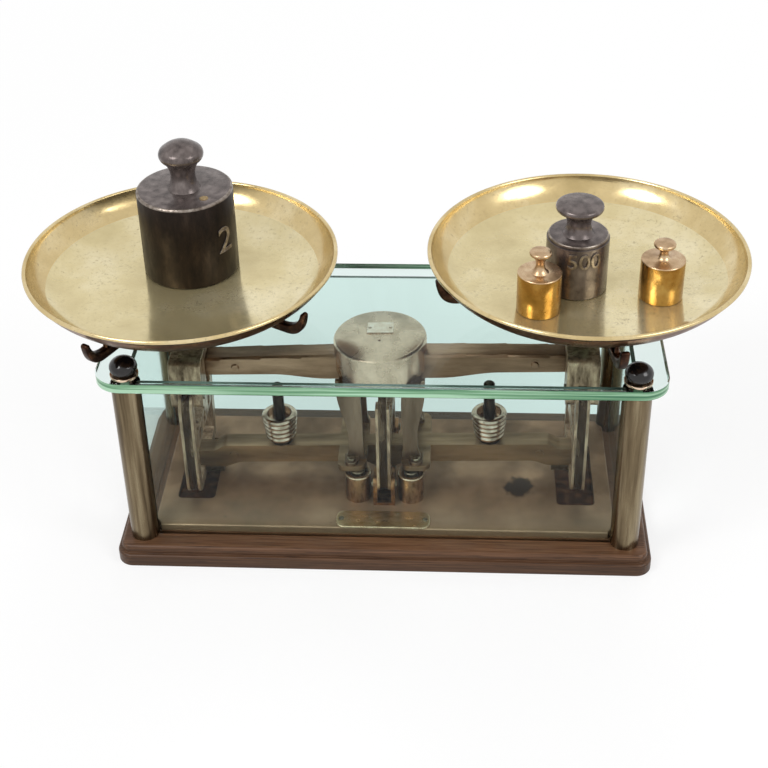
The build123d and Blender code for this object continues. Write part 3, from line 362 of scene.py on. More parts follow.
def dulledMetal(name, look):
    material, tree, shader, place = newMaterial(name)
    drawn = addNode(tree, "ShaderNodeMapping", {"Scale": look["drawn"]}, Vector=place)
    patch = addNode(tree, "ShaderNodeTexNoise", {
        "Scale": 1 / (look["patchMm"] * mm), "Detail": 5.0, "Roughness": 0.58},
        Vector=drawn.outputs[0])
    mark = addNode(tree, "ShaderNodeTexNoise", {
        "Scale": 1 / (look["markMm"] * mm), "Detail": 3.0, "Roughness": 0.6},
        Vector=drawn.outputs[0])
    colour = addNode(tree, "ShaderNodeValToRGB", {
        "stops": tonesOf(look, dulledForm["tonesAt"], ("dark", "mid", "light"))},
        Fac=patch.outputs[0])
    shade = addNode(tree, "ShaderNodeValToRGB", {"stops": dulledForm["markShade"]},
                    Fac=mark.outputs[0])
    marked = addNode(tree, "ShaderNodeMix", {
        "data_type": "RGBA", "blend_type": "MULTIPLY", "in0": dulledForm["markShare"]},
        in6=colour.outputs[0], in7=shade.outputs[0])
    tree.links.new(marked.outputs[2], shader.inputs["Base Color"])
    finishSurface(tree, shader, patch, dulledForm["patchSpan"], look["gloss"],
                  mark, look["markDepth"], dulledForm["reliefMm"])
    shader.inputs["Metallic"].default_value = look.get("metal", 1.0)
    return material


def frenchPolishedMahogany():
    # quartered mahogany under old shellac: brown with red in it, straight fine grain along the
    # board, darker towards the bottom, soft shine
    look = {
        "pore": "#2C1B12", "deep": "#49301F", "mid": "#674832", "warm": "#845F44",
        "grainMm": 1.2, "figureMm": 22.0, "poreMm": 0.5,
        "grainDrawn": (0.02, 1.0, 1.0), "figureDrawn": (0.16, 1.0, 1.0),
        "tonesAt": (0.3, 0.5, 0.72), "figureShade": [(0.32, 0.6), (0.66, 1.0)],
        "figureShare": 0.8, "poreShade": [(0.3, 0.0), (0.38, 1.0)],
        "darkTo": 8.0, "darkFrom": 17.0, "darkShade": 0.66,  # heights in mm
        "figureSpan": (0.65, 0.35), "gloss": (0.3, 0.48), "grainDepth": 0.2, "reliefMm": 0.12,
        "specular": 0.25, "coat": 0.1, "coatRoughness": 0.2,
    }
    material, tree, shader, place = newMaterial("frenchPolishedMahogany")
    along = addNode(tree, "ShaderNodeMapping", {"Scale": look["grainDrawn"]}, Vector=place)
    wide = addNode(tree, "ShaderNodeMapping", {"Scale": look["figureDrawn"]}, Vector=place)
    grain = addNode(tree, "ShaderNodeTexNoise", {
        "Scale": 1 / (look["grainMm"] * mm), "Detail": 4.0, "Roughness": 0.65},
        Vector=along.outputs[0])
    figure = addNode(tree, "ShaderNodeTexNoise", {
        "Scale": 1 / (look["figureMm"] * mm), "Detail": 4.0, "Roughness": 0.55},
        Vector=wide.outputs[0])
    pore = addNode(tree, "ShaderNodeTexNoise", {
        "Scale": 1 / (look["poreMm"] * mm), "Detail": 2.0, "Roughness": 0.5},
        Vector=along.outputs[0])
    tone = addNode(tree, "ShaderNodeValToRGB", {
        "stops": tonesOf(look, look["tonesAt"], ("deep", "mid", "warm"))}, Fac=grain.outputs[0])
    shade = addNode(tree, "ShaderNodeValToRGB", {"stops": look["figureShade"]},
                    Fac=figure.outputs[0])
    lines = addNode(tree, "ShaderNodeValToRGB", {"stops": look["poreShade"]},
                    Fac=pore.outputs[0])
    stained = addNode(tree, "ShaderNodeMix", {
        "data_type": "RGBA", "blend_type": "MULTIPLY", "in0": look["figureShare"]},
        in6=tone.outputs[0], in7=shade.outputs[0])
    pored = addNode(tree, "ShaderNodeMix", {"data_type": "RGBA", "in6": linear(look["pore"])},
                    in0=lines.outputs[0], in7=stained.outputs[2])
    level = addNode(tree, "ShaderNodeSeparateXYZ", {}, Vector=place)
    low = addNode(tree, "ShaderNodeMapRange", {
        "From Min": look["darkTo"] * mm, "From Max": look["darkFrom"] * mm,
        "To Min": look["darkShade"]}, Value=level.outputs["Z"])
    darkerBelow = addNode(tree, "ShaderNodeMix", {
        "data_type": "RGBA", "blend_type": "MULTIPLY", "in0": 1.0},
        in6=pored.outputs[2], in7=low.outputs[0])
    tree.links.new(darkerBelow.outputs[2], shader.inputs["Base Color"])
    finishSurface(tree, shader, figure, look["figureSpan"], look["gloss"],
                  grain, look["grainDepth"], look["reliefMm"])
    shader.inputs["Specular IOR Level"].default_value = look["specular"]
    shader.inputs["Coat Weight"].default_value = look["coat"]
    shader.inputs["Coat Roughness"].default_value = look["coatRoughness"]
    return material


def japannedIronBed():
    # sand-cast iron plate under thin brown japan: fine sand texture, worn through to grey in
    # places, paler along the front as a painted sheen, small dark stains and one round rust bloom
    look = {
        "stain": "#2E2219", "deep": "#6B4F37", "mid": "#8E6B50", "bare": "#B08A6B",
        "rubbed": "#BCA48A", "rust": "#3A261B",
        "wearMm": 34.0, "sandMm": 0.8, "stainMm": 5.0,
        "tonesAt": (0.3, 0.5, 0.72), "stainShade": [(0.27, 0.0), (0.36, 1.0)],
        "sheenFrom": -20.0, "sheenTo": -62.0, "sheenShare": 0.4,  # mm towards the front
        "rustAt": (104.0, -18.0), "rustMm": 12.5, "raggedMm": 24.0, "fringeMm": 3.0,
        "wearSpan": (0.35, 0.7), "gloss": (0.52, 0.34), "sandDepth": 0.3, "reliefMm": 0.1,
        "metal": 0.6,
    }
    material, tree, shader, place = newMaterial("japannedIronBed")
    wear = addNode(tree, "ShaderNodeTexNoise", {
        "Scale": 1 / (look["wearMm"] * mm), "Detail": 7.0, "Roughness": 0.6}, Vector=place)
    sand = addNode(tree, "ShaderNodeTexNoise", {
        "Scale": 1 / (look["sandMm"] * mm), "Detail": 3.0, "Roughness": 0.6}, Vector=place)
    speck = addNode(tree, "ShaderNodeTexNoise", {
        "Scale": 1 / (look["stainMm"] * mm), "Detail": 6.0, "Roughness": 0.7}, Vector=place)
    japan = addNode(tree, "ShaderNodeValToRGB", {
        "stops": tonesOf(look, look["tonesAt"], ("deep", "mid", "bare"))}, Fac=wear.outputs[0])
    spots = addNode(tree, "ShaderNodeValToRGB", {"stops": look["stainShade"]},
                    Fac=speck.outputs[0])
    spot = addNode(tree, "ShaderNodeSeparateXYZ", {}, Vector=place)
    # painted sheen: a paler colour is mixed in more and more towards the front
    front = addNode(tree, "ShaderNodeMapRange", {
        "From Min": look["sheenFrom"] * mm, "From Max": look["sheenTo"] * mm,
        "To Max": look["sheenShare"]}, Value=spot.outputs["Y"])
    paler = addNode(tree, "ShaderNodeMix", {"data_type": "RGBA", "in7": linear(look["rubbed"])},
                    in0=front.outputs[0], in6=japan.outputs[0])
    stained = addNode(tree, "ShaderNodeMix", {"data_type": "RGBA", "in6": linear(look["stain"])},
                      in0=spots.outputs[0], in7=paler.outputs[2])
    across, along = look["rustAt"]
    centred = addNode(tree, "ShaderNodeMapping", {
        "Location": (-across * mm, -along * mm, 0), "Scale": (1, 1, 0)}, Vector=place)
    reach = addNode(tree, "ShaderNodeVectorMath", {"operation": "LENGTH"},
                    in0=centred.outputs[0])
    ragged = addNode(tree, "ShaderNodeMath", {
        "operation": "MULTIPLY_ADD", "in1": look["raggedMm"] * mm},
        in0=speck.outputs[0], in2=reach.outputs["Value"])
    rustEdge = look["rustMm"] + look["raggedMm"] / 2
    bloom = addNode(tree, "ShaderNodeMapRange", {
        "From Min": rustEdge * mm, "From Max": (rustEdge - look["fringeMm"]) * mm},
        Value=ragged.outputs[0])
    rusted = addNode(tree, "ShaderNodeMix", {"data_type": "RGBA", "in7": linear(look["rust"])},
                     in0=bloom.outputs[0], in6=stained.outputs[2])
    tree.links.new(rusted.outputs[2], shader.inputs["Base Color"])
    finishSurface(tree, shader, wear, look["wearSpan"], look["gloss"],
                  sand, look["sandDepth"], look["reliefMm"])
    shader.inputs["Metallic"].default_value = look["metal"]
    return material


brassLooks = {
    # spun sheet brass, buffed: pale greenish gold that mirrors softly, with smears and tarnish
    # freckles
    "spunSheetBrass": {
        "dull": "#C6B688", "mid": "#D9CA9C", "light": "#E8DCB6", "cloudMm": 60.0,
        "freckleMm": 2.6, "freckle": 0.6, "smearMm": 18.0, "gloss": (0.1, 0.2), "metal": 0.72,
    },
    # the pans' walls: the same sheet in a deeper gold, a painted shade on the wall
    "spunBrassWall": {
        "dull": "#BEA877", "mid": "#D2BC8A", "light": "#E2D0A5", "cloudMm": 45.0,
        "freckleMm": 3.0, "freckle": 0.5, "smearMm": 16.0, "gloss": (0.14, 0.26), "metal": 0.8,
    },
    # turned brass weights, lacquered: deeper orange gold, bright upright highlights
    "turnedYellowBrass": {
        "dull": "#96733A", "mid": "#B0884A", "light": "#C8A668", "cloudMm": 12.0,
        "freckleMm": 1.5, "freckle": 0.4, "smearMm": 6.0, "gloss": (0.18, 0.28), "metal": 0.95,
    },
}
# what all the brasses share
buffedForm = {
    "tonesAt": (0.32, 0.5, 0.68),
    "freckleShade": [(0.35, 0.25), (0.4, 0.8), (0.48, 1.0)],
    "clusterSpan": (0.44, 0.58),  # freckles and scratches crowd where the clouds are light
    "clusterLeast": 0.15,
    "scratchShade": [(0.488, 1.0), (0.497, 0.72), (0.506, 1.0)],
    "swirl": 1.6,
    "smearSpan": (0.35, 0.65),
    "smearDepth": 0.06,
    "reliefMm": 0.3,
}


def buffedBrass(name, look):
    material, tree, shader, place = newMaterial(name)
    cloud = addNode(tree, "ShaderNodeTexNoise", {
        "Scale": 1 / (look["cloudMm"] * mm), "Detail": 5.0, "Roughness": 0.55}, Vector=place)
    freckle = addNode(tree, "ShaderNodeTexNoise", {
        "Scale": 1 / (look["freckleMm"] * mm), "Detail": 6.0, "Roughness": 0.75}, Vector=place)
    smear = addNode(tree, "ShaderNodeTexNoise", {
        "Scale": 1 / (look["smearMm"] * mm), "Detail": 6.0, "Roughness": 0.6}, Vector=place)
    swirl = addNode(tree, "ShaderNodeTexNoise", {
        "Scale": 1 / (look["smearMm"] * mm), "Detail": 3.0, "Roughness": 0.55,
        "Distortion": buffedForm["swirl"]}, Vector=place)
    base = addNode(tree, "ShaderNodeValToRGB", {
        "stops": tonesOf(look, buffedForm["tonesAt"], ("dull", "mid", "light"))},
        Fac=cloud.outputs[0])
    specks = addNode(tree, "ShaderNodeValToRGB", {"stops": buffedForm["freckleShade"]},
                     Fac=freckle.outputs[0])
    scratch = addNode(tree, "ShaderNodeValToRGB", {"stops": buffedForm["scratchShade"]},
                      Fac=swirl.outputs[0])
    crowdFrom, crowdTo = buffedForm["clusterSpan"]
    cluster = addNode(tree, "ShaderNodeMapRange", {
        "From Min": crowdFrom, "From Max": crowdTo,
        "To Min": buffedForm["clusterLeast"], "To Max": look["freckle"]},
        Value=cloud.outputs[0])
    scratched = addNode(tree, "ShaderNodeMix", {"data_type": "RGBA", "blend_type": "MULTIPLY"},
                        in0=cluster.outputs[0], in6=base.outputs[0], in7=scratch.outputs[0])
    spotted = addNode(tree, "ShaderNodeMix", {"data_type": "RGBA", "blend_type": "MULTIPLY"},
                      in0=cluster.outputs[0], in6=scratched.outputs[2], in7=specks.outputs[0])
    tree.links.new(spotted.outputs[2], shader.inputs["Base Color"])
    finishSurface(tree, shader, smear, buffedForm["smearSpan"], look["gloss"][::-1],
                  smear, buffedForm["smearDepth"], buffedForm["reliefMm"])
    # tarnish scatters the light that the metal share leaves
    shader.inputs["Metallic"].default_value = look["metal"]
    return material


ironLooks = {
    # blacked cast iron, handled for years: warm brown-black with a low shine and small pits,
    # its worn patches drawn out upright as painted streaks of sheen
    "blackedCastIron": {
        "deep": "#17110E", "mid": "#29201B", "bare": "#40352D", "wearMm": 9.0, "pitMm": 1.2,
        "gloss": (0.3, 0.5), "metal": 0.75, "depth": 0.3, "drawn": (1.0, 1.0, 0.35),
    },
    # the same casting, greyer: most of the blacking has worn off
    "greyedCastIron": {
        "deep": "#423A38", "mid": "#6A605D", "bare": "#8C827E", "wearMm": 8.0, "pitMm": 1.0,
        "gloss": (0.18, 0.32), "metal": 0.55, "depth": 0.2, "drawn": (1.0, 1.0, 0.6),
    },
    # high edges and raised figures rubbed to grey metal
    "rubbedCastIron": {
        "deep": "#5A4F47", "mid": "#8A8077", "bare": "#B5ADA4", "wearMm": 4.0, "pitMm": 0.9,
        "gloss": (0.24, 0.4), "metal": 0.9, "depth": 0.25, "drawn": (1.0, 1.0, 1.0),
    },
    # turned knobs of ebonised wood under varnish: black, wet shine
    "ebonisedKnob": {
        "deep": "#0D0B0B", "mid": "#161313", "bare": "#241F1E", "wearMm": 4.0, "pitMm": 1.0,
        "gloss": (0.1, 0.2), "metal": 0.0, "depth": 0.1, "drawn": (1.0, 1.0, 1.0),
    },
}
# what all the dark castings share
castForm = {"tonesAt": (0.32, 0.54, 0.76), "wearSpan": (0.35, 0.7), "reliefMm": 0.16}


def darkCasting(name, look):
    material, tree, shader, place = newMaterial(name)
    drawn = addNode(tree, "ShaderNodeMapping", {"Scale": look["drawn"]}, Vector=place)
    wear = addNode(tree, "ShaderNodeTexNoise", {
        "Scale": 1 / (look["wearMm"] * mm), "Detail": 7.0, "Roughness": 0.62},
        Vector=drawn.outputs[0])
    pit = addNode(tree, "ShaderNodeTexNoise", {
        "Scale": 1 / (look["pitMm"] * mm), "Detail": 4.0, "Roughness": 0.6}, Vector=place)
    colour = addNode(tree, "ShaderNodeValToRGB", {
        "stops": tonesOf(look, castForm["tonesAt"], ("deep", "mid", "bare"))},
        Fac=wear.outputs[0])
    tree.links.new(colour.outputs[0], shader.inputs["Base Color"])
    finishSurface(tree, shader, wear, castForm["wearSpan"], look["gloss"][::-1],
                  pit, look["depth"], castForm["reliefMm"])
    shader.inputs["Metallic"].default_value = look["metal"]
    return material


def clearPlateGlass():
    # polished soda-lime plate: clear, a little green, a weak sheen (index below the usual 1.52 so
    # that white surroundings don't fog it)
    look = {"tint": "#E7F4F1", "index": 1.2, "smearMm": 40.0, "smearSpan": (0.4, 0.8),
            "roughest": 0.015}
    material, tree, shader, place = newMaterial("clearPlateGlass")
    smear = addNode(tree, "ShaderNodeTexNoise", {
        "Scale": 1 / (look["smearMm"] * mm), "Detail": 4.0, "Roughness": 0.6}, Vector=place)
    smearFrom, smearTo = look["smearSpan"]
    rough = addNode(tree, "ShaderNodeMapRange", {
        "From Min": smearFrom, "From Max": smearTo, "To Min": 0.0, "To Max": look["roughest"]},
        Value=smear.outputs[0])
    tree.links.new(rough.outputs[0], shader.inputs["Roughness"])
    shader.inputs["Base Color"].default_value = linear(look["tint"])
    shader.inputs["IOR"].default_value = look["index"]
    shader.inputs["Transmission Weight"].default_value = 1.0
    return material


edgeLooks = {
    # polished edge of thick plate: light from the whole sheet comes out green, in bright and
    # dark lines
    "polishedGlassEdge": {"deep": "#3E7A58", "mid": "#78AC84", "light": "#B4E0C0", "lineMm": 2.2},
    # ground edge of the thin panes: dull dark green line
    "groundPaneEdge": {"deep": "#3C4A44", "mid": "#5E7068", "light": "#93A89E", "lineMm": 1.5},
}
edgeForm = {"drawn": (0.02, 0.02, 1.0), "tonesAt": (0.34, 0.5, 0.64), "rough": 0.12, "index": 1.5}


def greenGlassEdge(name, look):
    material, tree, shader, place = newMaterial(name)
    lines = addNode(tree, "ShaderNodeMapping", {"Scale": edgeForm["drawn"]}, Vector=place)
    band = addNode(tree, "ShaderNodeTexNoise", {
        "Scale": 1 / (look["lineMm"] * mm), "Detail": 2.0, "Roughness": 0.6},
        Vector=lines.outputs[0])
    colour = addNode(tree, "ShaderNodeValToRGB", {
        "stops": tonesOf(look, edgeForm["tonesAt"], ("deep", "mid", "light"))},
        Fac=band.outputs[0])
    tree.links.new(colour.outputs[0], shader.inputs["Base Color"])
    shader.inputs["Roughness"].default_value = edgeForm["rough"]
    shader.inputs["IOR"].default_value = edgeForm["index"]
    return material


looks = {
    "mahogany": frenchPolishedMahogany(),
    "bed": japannedIronBed(),
    "clearGlass": clearPlateGlass(),
}
for makeLook, table in (
    (dulledMetal, metalLooks),
    (buffedBrass, brassLooks),
    (darkCasting, ironLooks),
    (greenGlassEdge, edgeLooks),
):
    looks.update({name: makeLook(name, look) for name, look in table.items()})
print("materials made:", len(looks))

bodies = frame["record"]["behaviour"]["bodies"]
bodyOf = {node: body for body, nodes in bodies.items() for node in nodes}


def addPiece(name, shape, lookNames, node):
    # the shape becomes an object that rides on the node's body
    mesh = bpy.data.meshes.new(name)
    shape.to_mesh(mesh)
    shape.free()
    for lookName in lookNames:
        mesh.materials.append(looks[lookName])
    piece = bpy.data.objects.new(name, mesh)
    bpy.context.collection.objects.link(piece)
    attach(piece, bodyOf[node])
    return piece


def smoothByAngle(shape, degrees):
    limit = math.radians(degrees)
    for face in shape.faces:
        face.smooth = True
    for edge in shape.edges:
        edge.smooth = len(edge.link_faces) == 2 and edge.calc_face_angle(0) < limit


copying = {"mergeMm": 0.002, "flatBelow": 0.6}  # the second in degrees


def copyOf(node):
    # merged copy of a frame piece, its flat faces whole again
    shape = bmesh.new()
    shape.from_mesh(frame["nodes"][node].data)
    bmesh.ops.remove_doubles(shape, verts=shape.verts[:], dist=copying["mergeMm"] * mm)
    bmesh.ops.dissolve_limit(shape, angle_limit=math.radians(copying["flatBelow"]),
                             verts=shape.verts[:], edges=shape.edges[:])
    return shape


# frame piece: look, look of its rounded edges, rounding in mm, slot
nodeLooks = {
    "plinth": ("mahogany", None, 0.5, "mahogany"),
    "bed_plate": ("bed", None, 0.5, "bed_casting"),
    "name_plate": ("lacqueredBrassPlate", "rubbedNickelAndHighlight", 0.25, "name_plate"),
    "name_plate_screws": ("turnedSteelScrew", None, 0.0, "screw_steel"),
    "post_front_left": ("agedNickelTube", None, 0.0, "post_nickel"),
    "post_front_right": ("agedNickelTube", None, 0.0, "post_nickel"),
    "post_rear_left": ("agedNickelTube", None, 0.0, "post_nickel"),
    "post_rear_right": ("agedNickelTube", None, 0.0, "post_nickel"),
    "tie_rods": ("turnedSteelScrew", None, 0.0, "tie_steel"),
    "tie_nuts": ("turnedSteelScrew", None, 0.3, "tie_steel"),
    "post_washers": ("rubbedNickelAndHighlight", None, 0.25, "washer_nickel"),
    "post_caps": ("ebonisedKnob", None, 0.0, "cap_black"),
    "centre_truss": ("wornNickelTruss", "rubbedNickelAndHighlight", 0.45, "truss_nickel"),
    "centre_band": ("bluedSpringSteel", None, 0.0, "band_steel"),
    "foot_front": ("tarnishedBrassFoot", None, 0.5, "foot_brass"),
    "foot_rear": ("tarnishedBrassFoot", None, 0.5, "foot_brass"),
    "foot_bolts": ("turnedSteelScrew", None, 0.2, "screw_steel"),
    "stop_pillar_left": ("wornStopCup", "rubbedNickelAndHighlight", 0.4, "stop_casting"),
    "stop_pillar_right": ("wornStopCup", "rubbedNickelAndHighlight", 0.4, "stop_casting"),
    "stop_screws": ("turnedSteelScrew", None, 0.0, "screw_steel"),
    "upper_beam": ("agedNickelBeam", None, 0.8, "beam_nickel"),
    "upper_jaws": ("turnedSteelScrew", None, 0.25, "jaw_steel"),
    "upper_jaw_screws": ("turnedSteelScrew", None, 0.0, "screw_steel"),
    "lower_beam": ("lacqueredIronBeam", None, 0.9, "lower_beam_casting"),
    "lower_jaws": ("turnedSteelScrew", None, 0.25, "jaw_steel"),
    "lower_jaw_screws": ("turnedSteelScrew", None, 0.0, "screw_steel"),
    "high_poise": ("agedNickelDrum", None, 0.3, "poise_nickel"),
    # the plate's rounded edge takes the brown stop-cup look as a painted shadow line round the
    # plate
    "poise_plate": ("wipedNickelPlate", "wornStopCup", 0.2, "name_plate"),
    "poise_legs_front": ("dulledNickelLeg", "rubbedNickelAndHighlight", 0.5, "poise_nickel"),
    "poise_legs_rear": ("dulledNickelLeg", "rubbedNickelAndHighlight", 0.5, "poise_nickel"),
    "leg_screws": ("turnedSteelScrew", "rubbedNickelAndHighlight", 0.25, "screw_steel"),
    "poise_stud_left": ("blackenedSteelStud", None, 0.2, "stud_steel"),
    "poise_stud_right": ("blackenedSteelStud", None, 0.2, "stud_steel"),
    "left_truss": ("wornNickelTruss", "rubbedNickelAndHighlight", 0.45, "truss_nickel"),
    "right_truss": ("wornNickelTruss", "rubbedNickelAndHighlight", 0.45, "truss_nickel"),
    "left_band": ("bluedSpringSteel", None, 0.0, "band_steel"),
    "right_band": ("bluedSpringSteel", None, 0.0, "band_steel"),
    "left_yoke": ("wornNickelTruss", "rubbedNickelAndHighlight", 0.5, "truss_nickel"),
    "right_yoke": ("wornNickelTruss", "rubbedNickelAndHighlight", 0.5, "truss_nickel"),
    "left_yoke_bolts": ("turnedSteelScrew", None, 0.2, "screw_steel"),
    "right_yoke_bolts": ("turnedSteelScrew", None, 0.2, "screw_steel"),
    "left_pan_post": ("oiledSteelPost", None, 0.3, "pan_post_steel"),
    "right_pan_post": ("oiledSteelPost", None, 0.3, "pan_post_steel"),
    "left_bracket": ("brownedIronArm", None, 0.0, "bracket_copper"),
    "right_bracket": ("brownedIronArm", None, 0.0, "bracket_copper"),
    "weight_2000_plug": ("hammeredBrassPlug", None, 0.0, "lead_plug"),
}

# edges bent less than the first angle are smooth, those bent more than the second are rounded
dressing = {"smoothBelow": 32, "roundAbove": 38, "roundSteps": 2}
bedWells = {"fromMiddle": 146.8, "halfWidth": 14.6, "halfLength": 38.2, "under": 0.3}  # mm
plugForm = {"topMm": 0.01, "riseMm": 0.85}  # from its sunk top to just over the weight's top


def paintWells(shape, top):
    # what lies under the bed's top inside a well takes the second look, the wells' painted shade
    for face in shape.faces:
        spot = face.calc_center_median() / mm
        aside = abs(abs(spot.x) - bedWells["fromMiddle"]) < bedWells["halfWidth"]
        along = abs(spot.y) < bedWells["halfLength"]
        below = spot.z < top / mm - bedWells["under"]
        face.material_index = 1 if aside and along and below else 0


def raisePlug(shape, top):
    crown = [vert for vert in shape.verts if vert.co.z > top - plugForm["topMm"] * mm]
    bmesh.ops.translate(shape, verts=crown, vec=(0, 0, plugForm["riseMm"] * mm))


def dressNode(node, lookName, edgeLook, bevelMm):
    shape = copyOf(node)
    smoothByAngle(shape, dressing["smoothBelow"])
    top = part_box(node)[1].z
    extraLooks = [edgeLook] if edgeLook else []
    if node == "bed_plate":
        extraLooks = ["rustedIronWell"]
        paintWells(shape, top)
    if node == "weight_2000_plug":
        raisePlug(shape, top)
    piece = addPiece(node + "Dressed", shape, [lookName] + extraLooks, node)
    if bevelMm:
        soften = piece.modifiers.new("softEdges", "BEVEL")
        soften.width = bevelMm * mm
        soften.segments = dressing["roundSteps"]
        soften.limit_method = "ANGLE"
        soften.angle_limit = math.radians(dressing["roundAbove"])
        soften.harden_normals = True
        # a bright edge look is partly wear and partly a painted highlight along the rounded edges;
        # on the drum's plate the edge look is a painted shadow line
        if edgeLook:
            soften.material = 1
    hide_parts(node)


for node, (lookName, edgeLook, bevelMm, slotName) in nodeLooks.items():
    dressNode(node, lookName, edgeLook, bevelMm)
print("frame pieces dressed:", len(nodeLooks))

# glass sheet: axis across its thickness, look of its edge, slot
glassSheets = {
    "top_glass": (2, "polishedGlassEdge", "plate_glass"),
    "front_pane": (1, "groundPaneEdge", "pane_glass"),
    "rear_pane": (1, "groundPaneEdge", "pane_glass"),
    "left_pane": (0, "groundPaneEdge", "pane_glass"),
    "right_pane": (0, "groundPaneEdge", "pane_glass"),
}
polishing = {"facesAcross": 0.7, "smoothBelow": 30}


def dressGlass(node, across, edgeLook):
    # the two large faces are clear, and all the others are the sheet's edge
    shape = copyOf(node)
    for face in shape.faces:
        clear = abs(face.normal[across]) > polishing["facesAcross"]
        face.material_index = 0 if clear else 1
    smoothByAngle(shape, polishing["smoothBelow"])
    piece = addPiece(node + "Polished", shape, ["clearGlass", edgeLook], node)
    piece.visible_shadow = False
    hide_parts(node)


for node, (across, edgeLook, slotName) in glassSheets.items():
    dressGlass(node, across, edgeLook)
print("glass polished:", len(glassSheets))

lathe = {"mergeMm": 0.005}


def turnProfile(runs, steps, centre):
    # draws half an outline in mm from (radius, height) pairs, a run being a line's end or an
    # arc's middle and end with its steps, and spins it round the upright axis at centre
    shape = bmesh.new()
    last = shape.verts.new((runs[0][0] * mm, 0, runs[0][1] * mm))
    for run in runs[1:]:
        if len(run) == 2:
            corner = shape.verts.new((run[0] * mm, 0, run[1] * mm))
            shape.edges.new((last, corner))
            last = corner
            continue
        # the arc's hub is as far from its start as from its middle and its end
        middle, end, arcSteps = run
        start = Vector((last.co.x, last.co.z)) / mm
        first, second = Vector(middle) - start, Vector(end) - start
        cross = 2 * first.cross(second)
        near, far = first.length_squared, second.length_squared
        offset = Vector((second.y * near - first.y * far, first.x * far - second.x * near)) / cross
        hub = start + offset
        spread = (Vector(end) - hub).angle_signed(-offset)
        if (spread > 0) != (cross > 0):
            spread -= math.copysign(2 * math.pi, spread)
        arc = bmesh.ops.spin(
            shape, geom=[last], cent=(hub.x * mm, 0, hub.y * mm), axis=(0, -1, 0),
            angle=spread, steps=arcSteps, use_merge=False, use_duplicate=False)
        last = [part for part in arc["geom_last"] if isinstance(part, bmesh.types.BMVert)][0]
    bmesh.ops.spin(shape, geom=shape.verts[:] + shape.edges[:], cent=(0, 0, 0), axis=(0, 0, 1),
                   angle=2 * math.pi, steps=steps, use_merge=True, use_duplicate=False)
    bmesh.ops.remove_doubles(shape, verts=shape.verts[:], dist=lathe["mergeMm"] * mm)
    bmesh.ops.recalc_face_normals(shape, faces=shape.faces[:])
    bmesh.ops.translate(shape, verts=shape.verts[:], vec=centre)
    return shape


def footOf(node):
    # middle of the piece's underside
    low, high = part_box(node)
    return Vector(((low.x + high.x) / 2, (low.y + high.y) / 2, low.z))


panForm = {
    "radius": 114.3, "floor": 87.0, "depth": 23.0, "sheet": 1.0, "roll": 1.6,  # mm
    "ring": 40.0,  # mm from the middle, where the floor's faces are parted
    "wallAt": 0.64, "wallUp": 0.36,  # middle of the wall's arc: shares of its run and the depth
    "wallIn": 0.8, "wallLift": 0.6,  # the same inside: thicknesses of sheet in and up from there
    "lipIn": (1.7, 1.95), "lipDown": (0.3, 1.2),  # arc inside the rolled rim, in rolls
    "wallSteps": 12, "rimSteps": 5, "lipSteps": 4, "steps": 160,
    # past this distance the pan takes the wall's painted shade
    "wallFrom": 100.0,  # mm from the middle, where the wall's deeper gold starts
    "underBelow": -0.02,  # a face that points lower than this is the underside's
    "smoothBelow": 60,
}


def addPan(node):
    radius, floor, depth, sheet, roll, ring = (
        panForm[key] for key in ("radius", "floor", "depth", "sheet", "roll", "ring"))
    run = radius - roll - floor
    wall = (floor + run * panForm["wallAt"], depth * panForm["wallUp"])
    inner = (wall[0] - sheet * panForm["wallIn"], wall[1] + sheet * panForm["wallLift"])
    lip = [(radius - inward * roll, depth - down * roll)
           for inward, down in zip(panForm["lipIn"], panForm["lipDown"])]
    middle = footOf(node)
    shape = turnProfile([
        (0, 0),
        (ring, 0),
        (floor, 0),
        (wall, (floor + run, depth - 2 * roll), panForm["wallSteps"]),
        ((radius, depth - roll), (radius - roll, depth), panForm["rimSteps"]),
        (lip[0], lip[1], panForm["lipSteps"]),
        (inner, (floor, sheet), panForm["wallSteps"]),
        (ring, sheet),
        (0, sheet),
    ], panForm["steps"], middle)
    for face in shape.faces:
        away = (face.calc_center_median() - middle).xy.length
        # faces out on the wall get the wall's painted shade
        upper = 1 if away > panForm["wallFrom"] * mm else 0
        face.material_index = 2 if face.normal.z < panForm["underBelow"] else upper
    smoothByAngle(shape, panForm["smoothBelow"])
    piece = addPiece(node + "Spun", shape, ["spunSheetBrass", "spunBrassWall", "brownedBrassUnder"],
                     node)
    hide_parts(node)


for node in ("left_pan", "right_pan"):
    addPan(node)
print("pans spun")

# sizes in mm: top is what stands over the body, neckFoot the neck's radius where it starts
brassForm = {
    "radius": 15.4, "height": 30.0, "neck": 3.0, "neckFoot": 6.2, "knob": 7.7, "knobDepth": 3.0,
    "dome": 0.5, "groove": 0.0,
    "looks": ["turnedYellowBrass", "dulledBrassTop", "dulledBrassTop"], "slot": "brass_weight",
}
weightForms = {
    "weight_2000": {
        "radius": 35.0, "height": 66.0, "neck": 9.1, "neckFoot": 12.0, "knob": 16.2,
        "knobDepth": 10.0, "dome": 5.0, "top": 37.0, "groove": 0.0,
        "looks": ["blackedCastIron", "greyedCastIron", "rubbedCastIron"], "slot": "iron_weight",
    },
    "weight_500": {
        "radius": 22.0, "height": 43.0, "neck": 8.4, "neckFoot": 11.4, "knob": 16.8,
        "knobDepth": 5.0, "dome": 0.9, "top": 24.0, "groove": 0.8,
        "looks": ["greyedCastIron", "greyedCastIron", "rubbedCastIron"], "slot": "half_weight",
    },
    "weight_200_left": {**brassForm, "top": 17.0},
    "weight_200_right": {**brassForm, "top": 13.4},
}
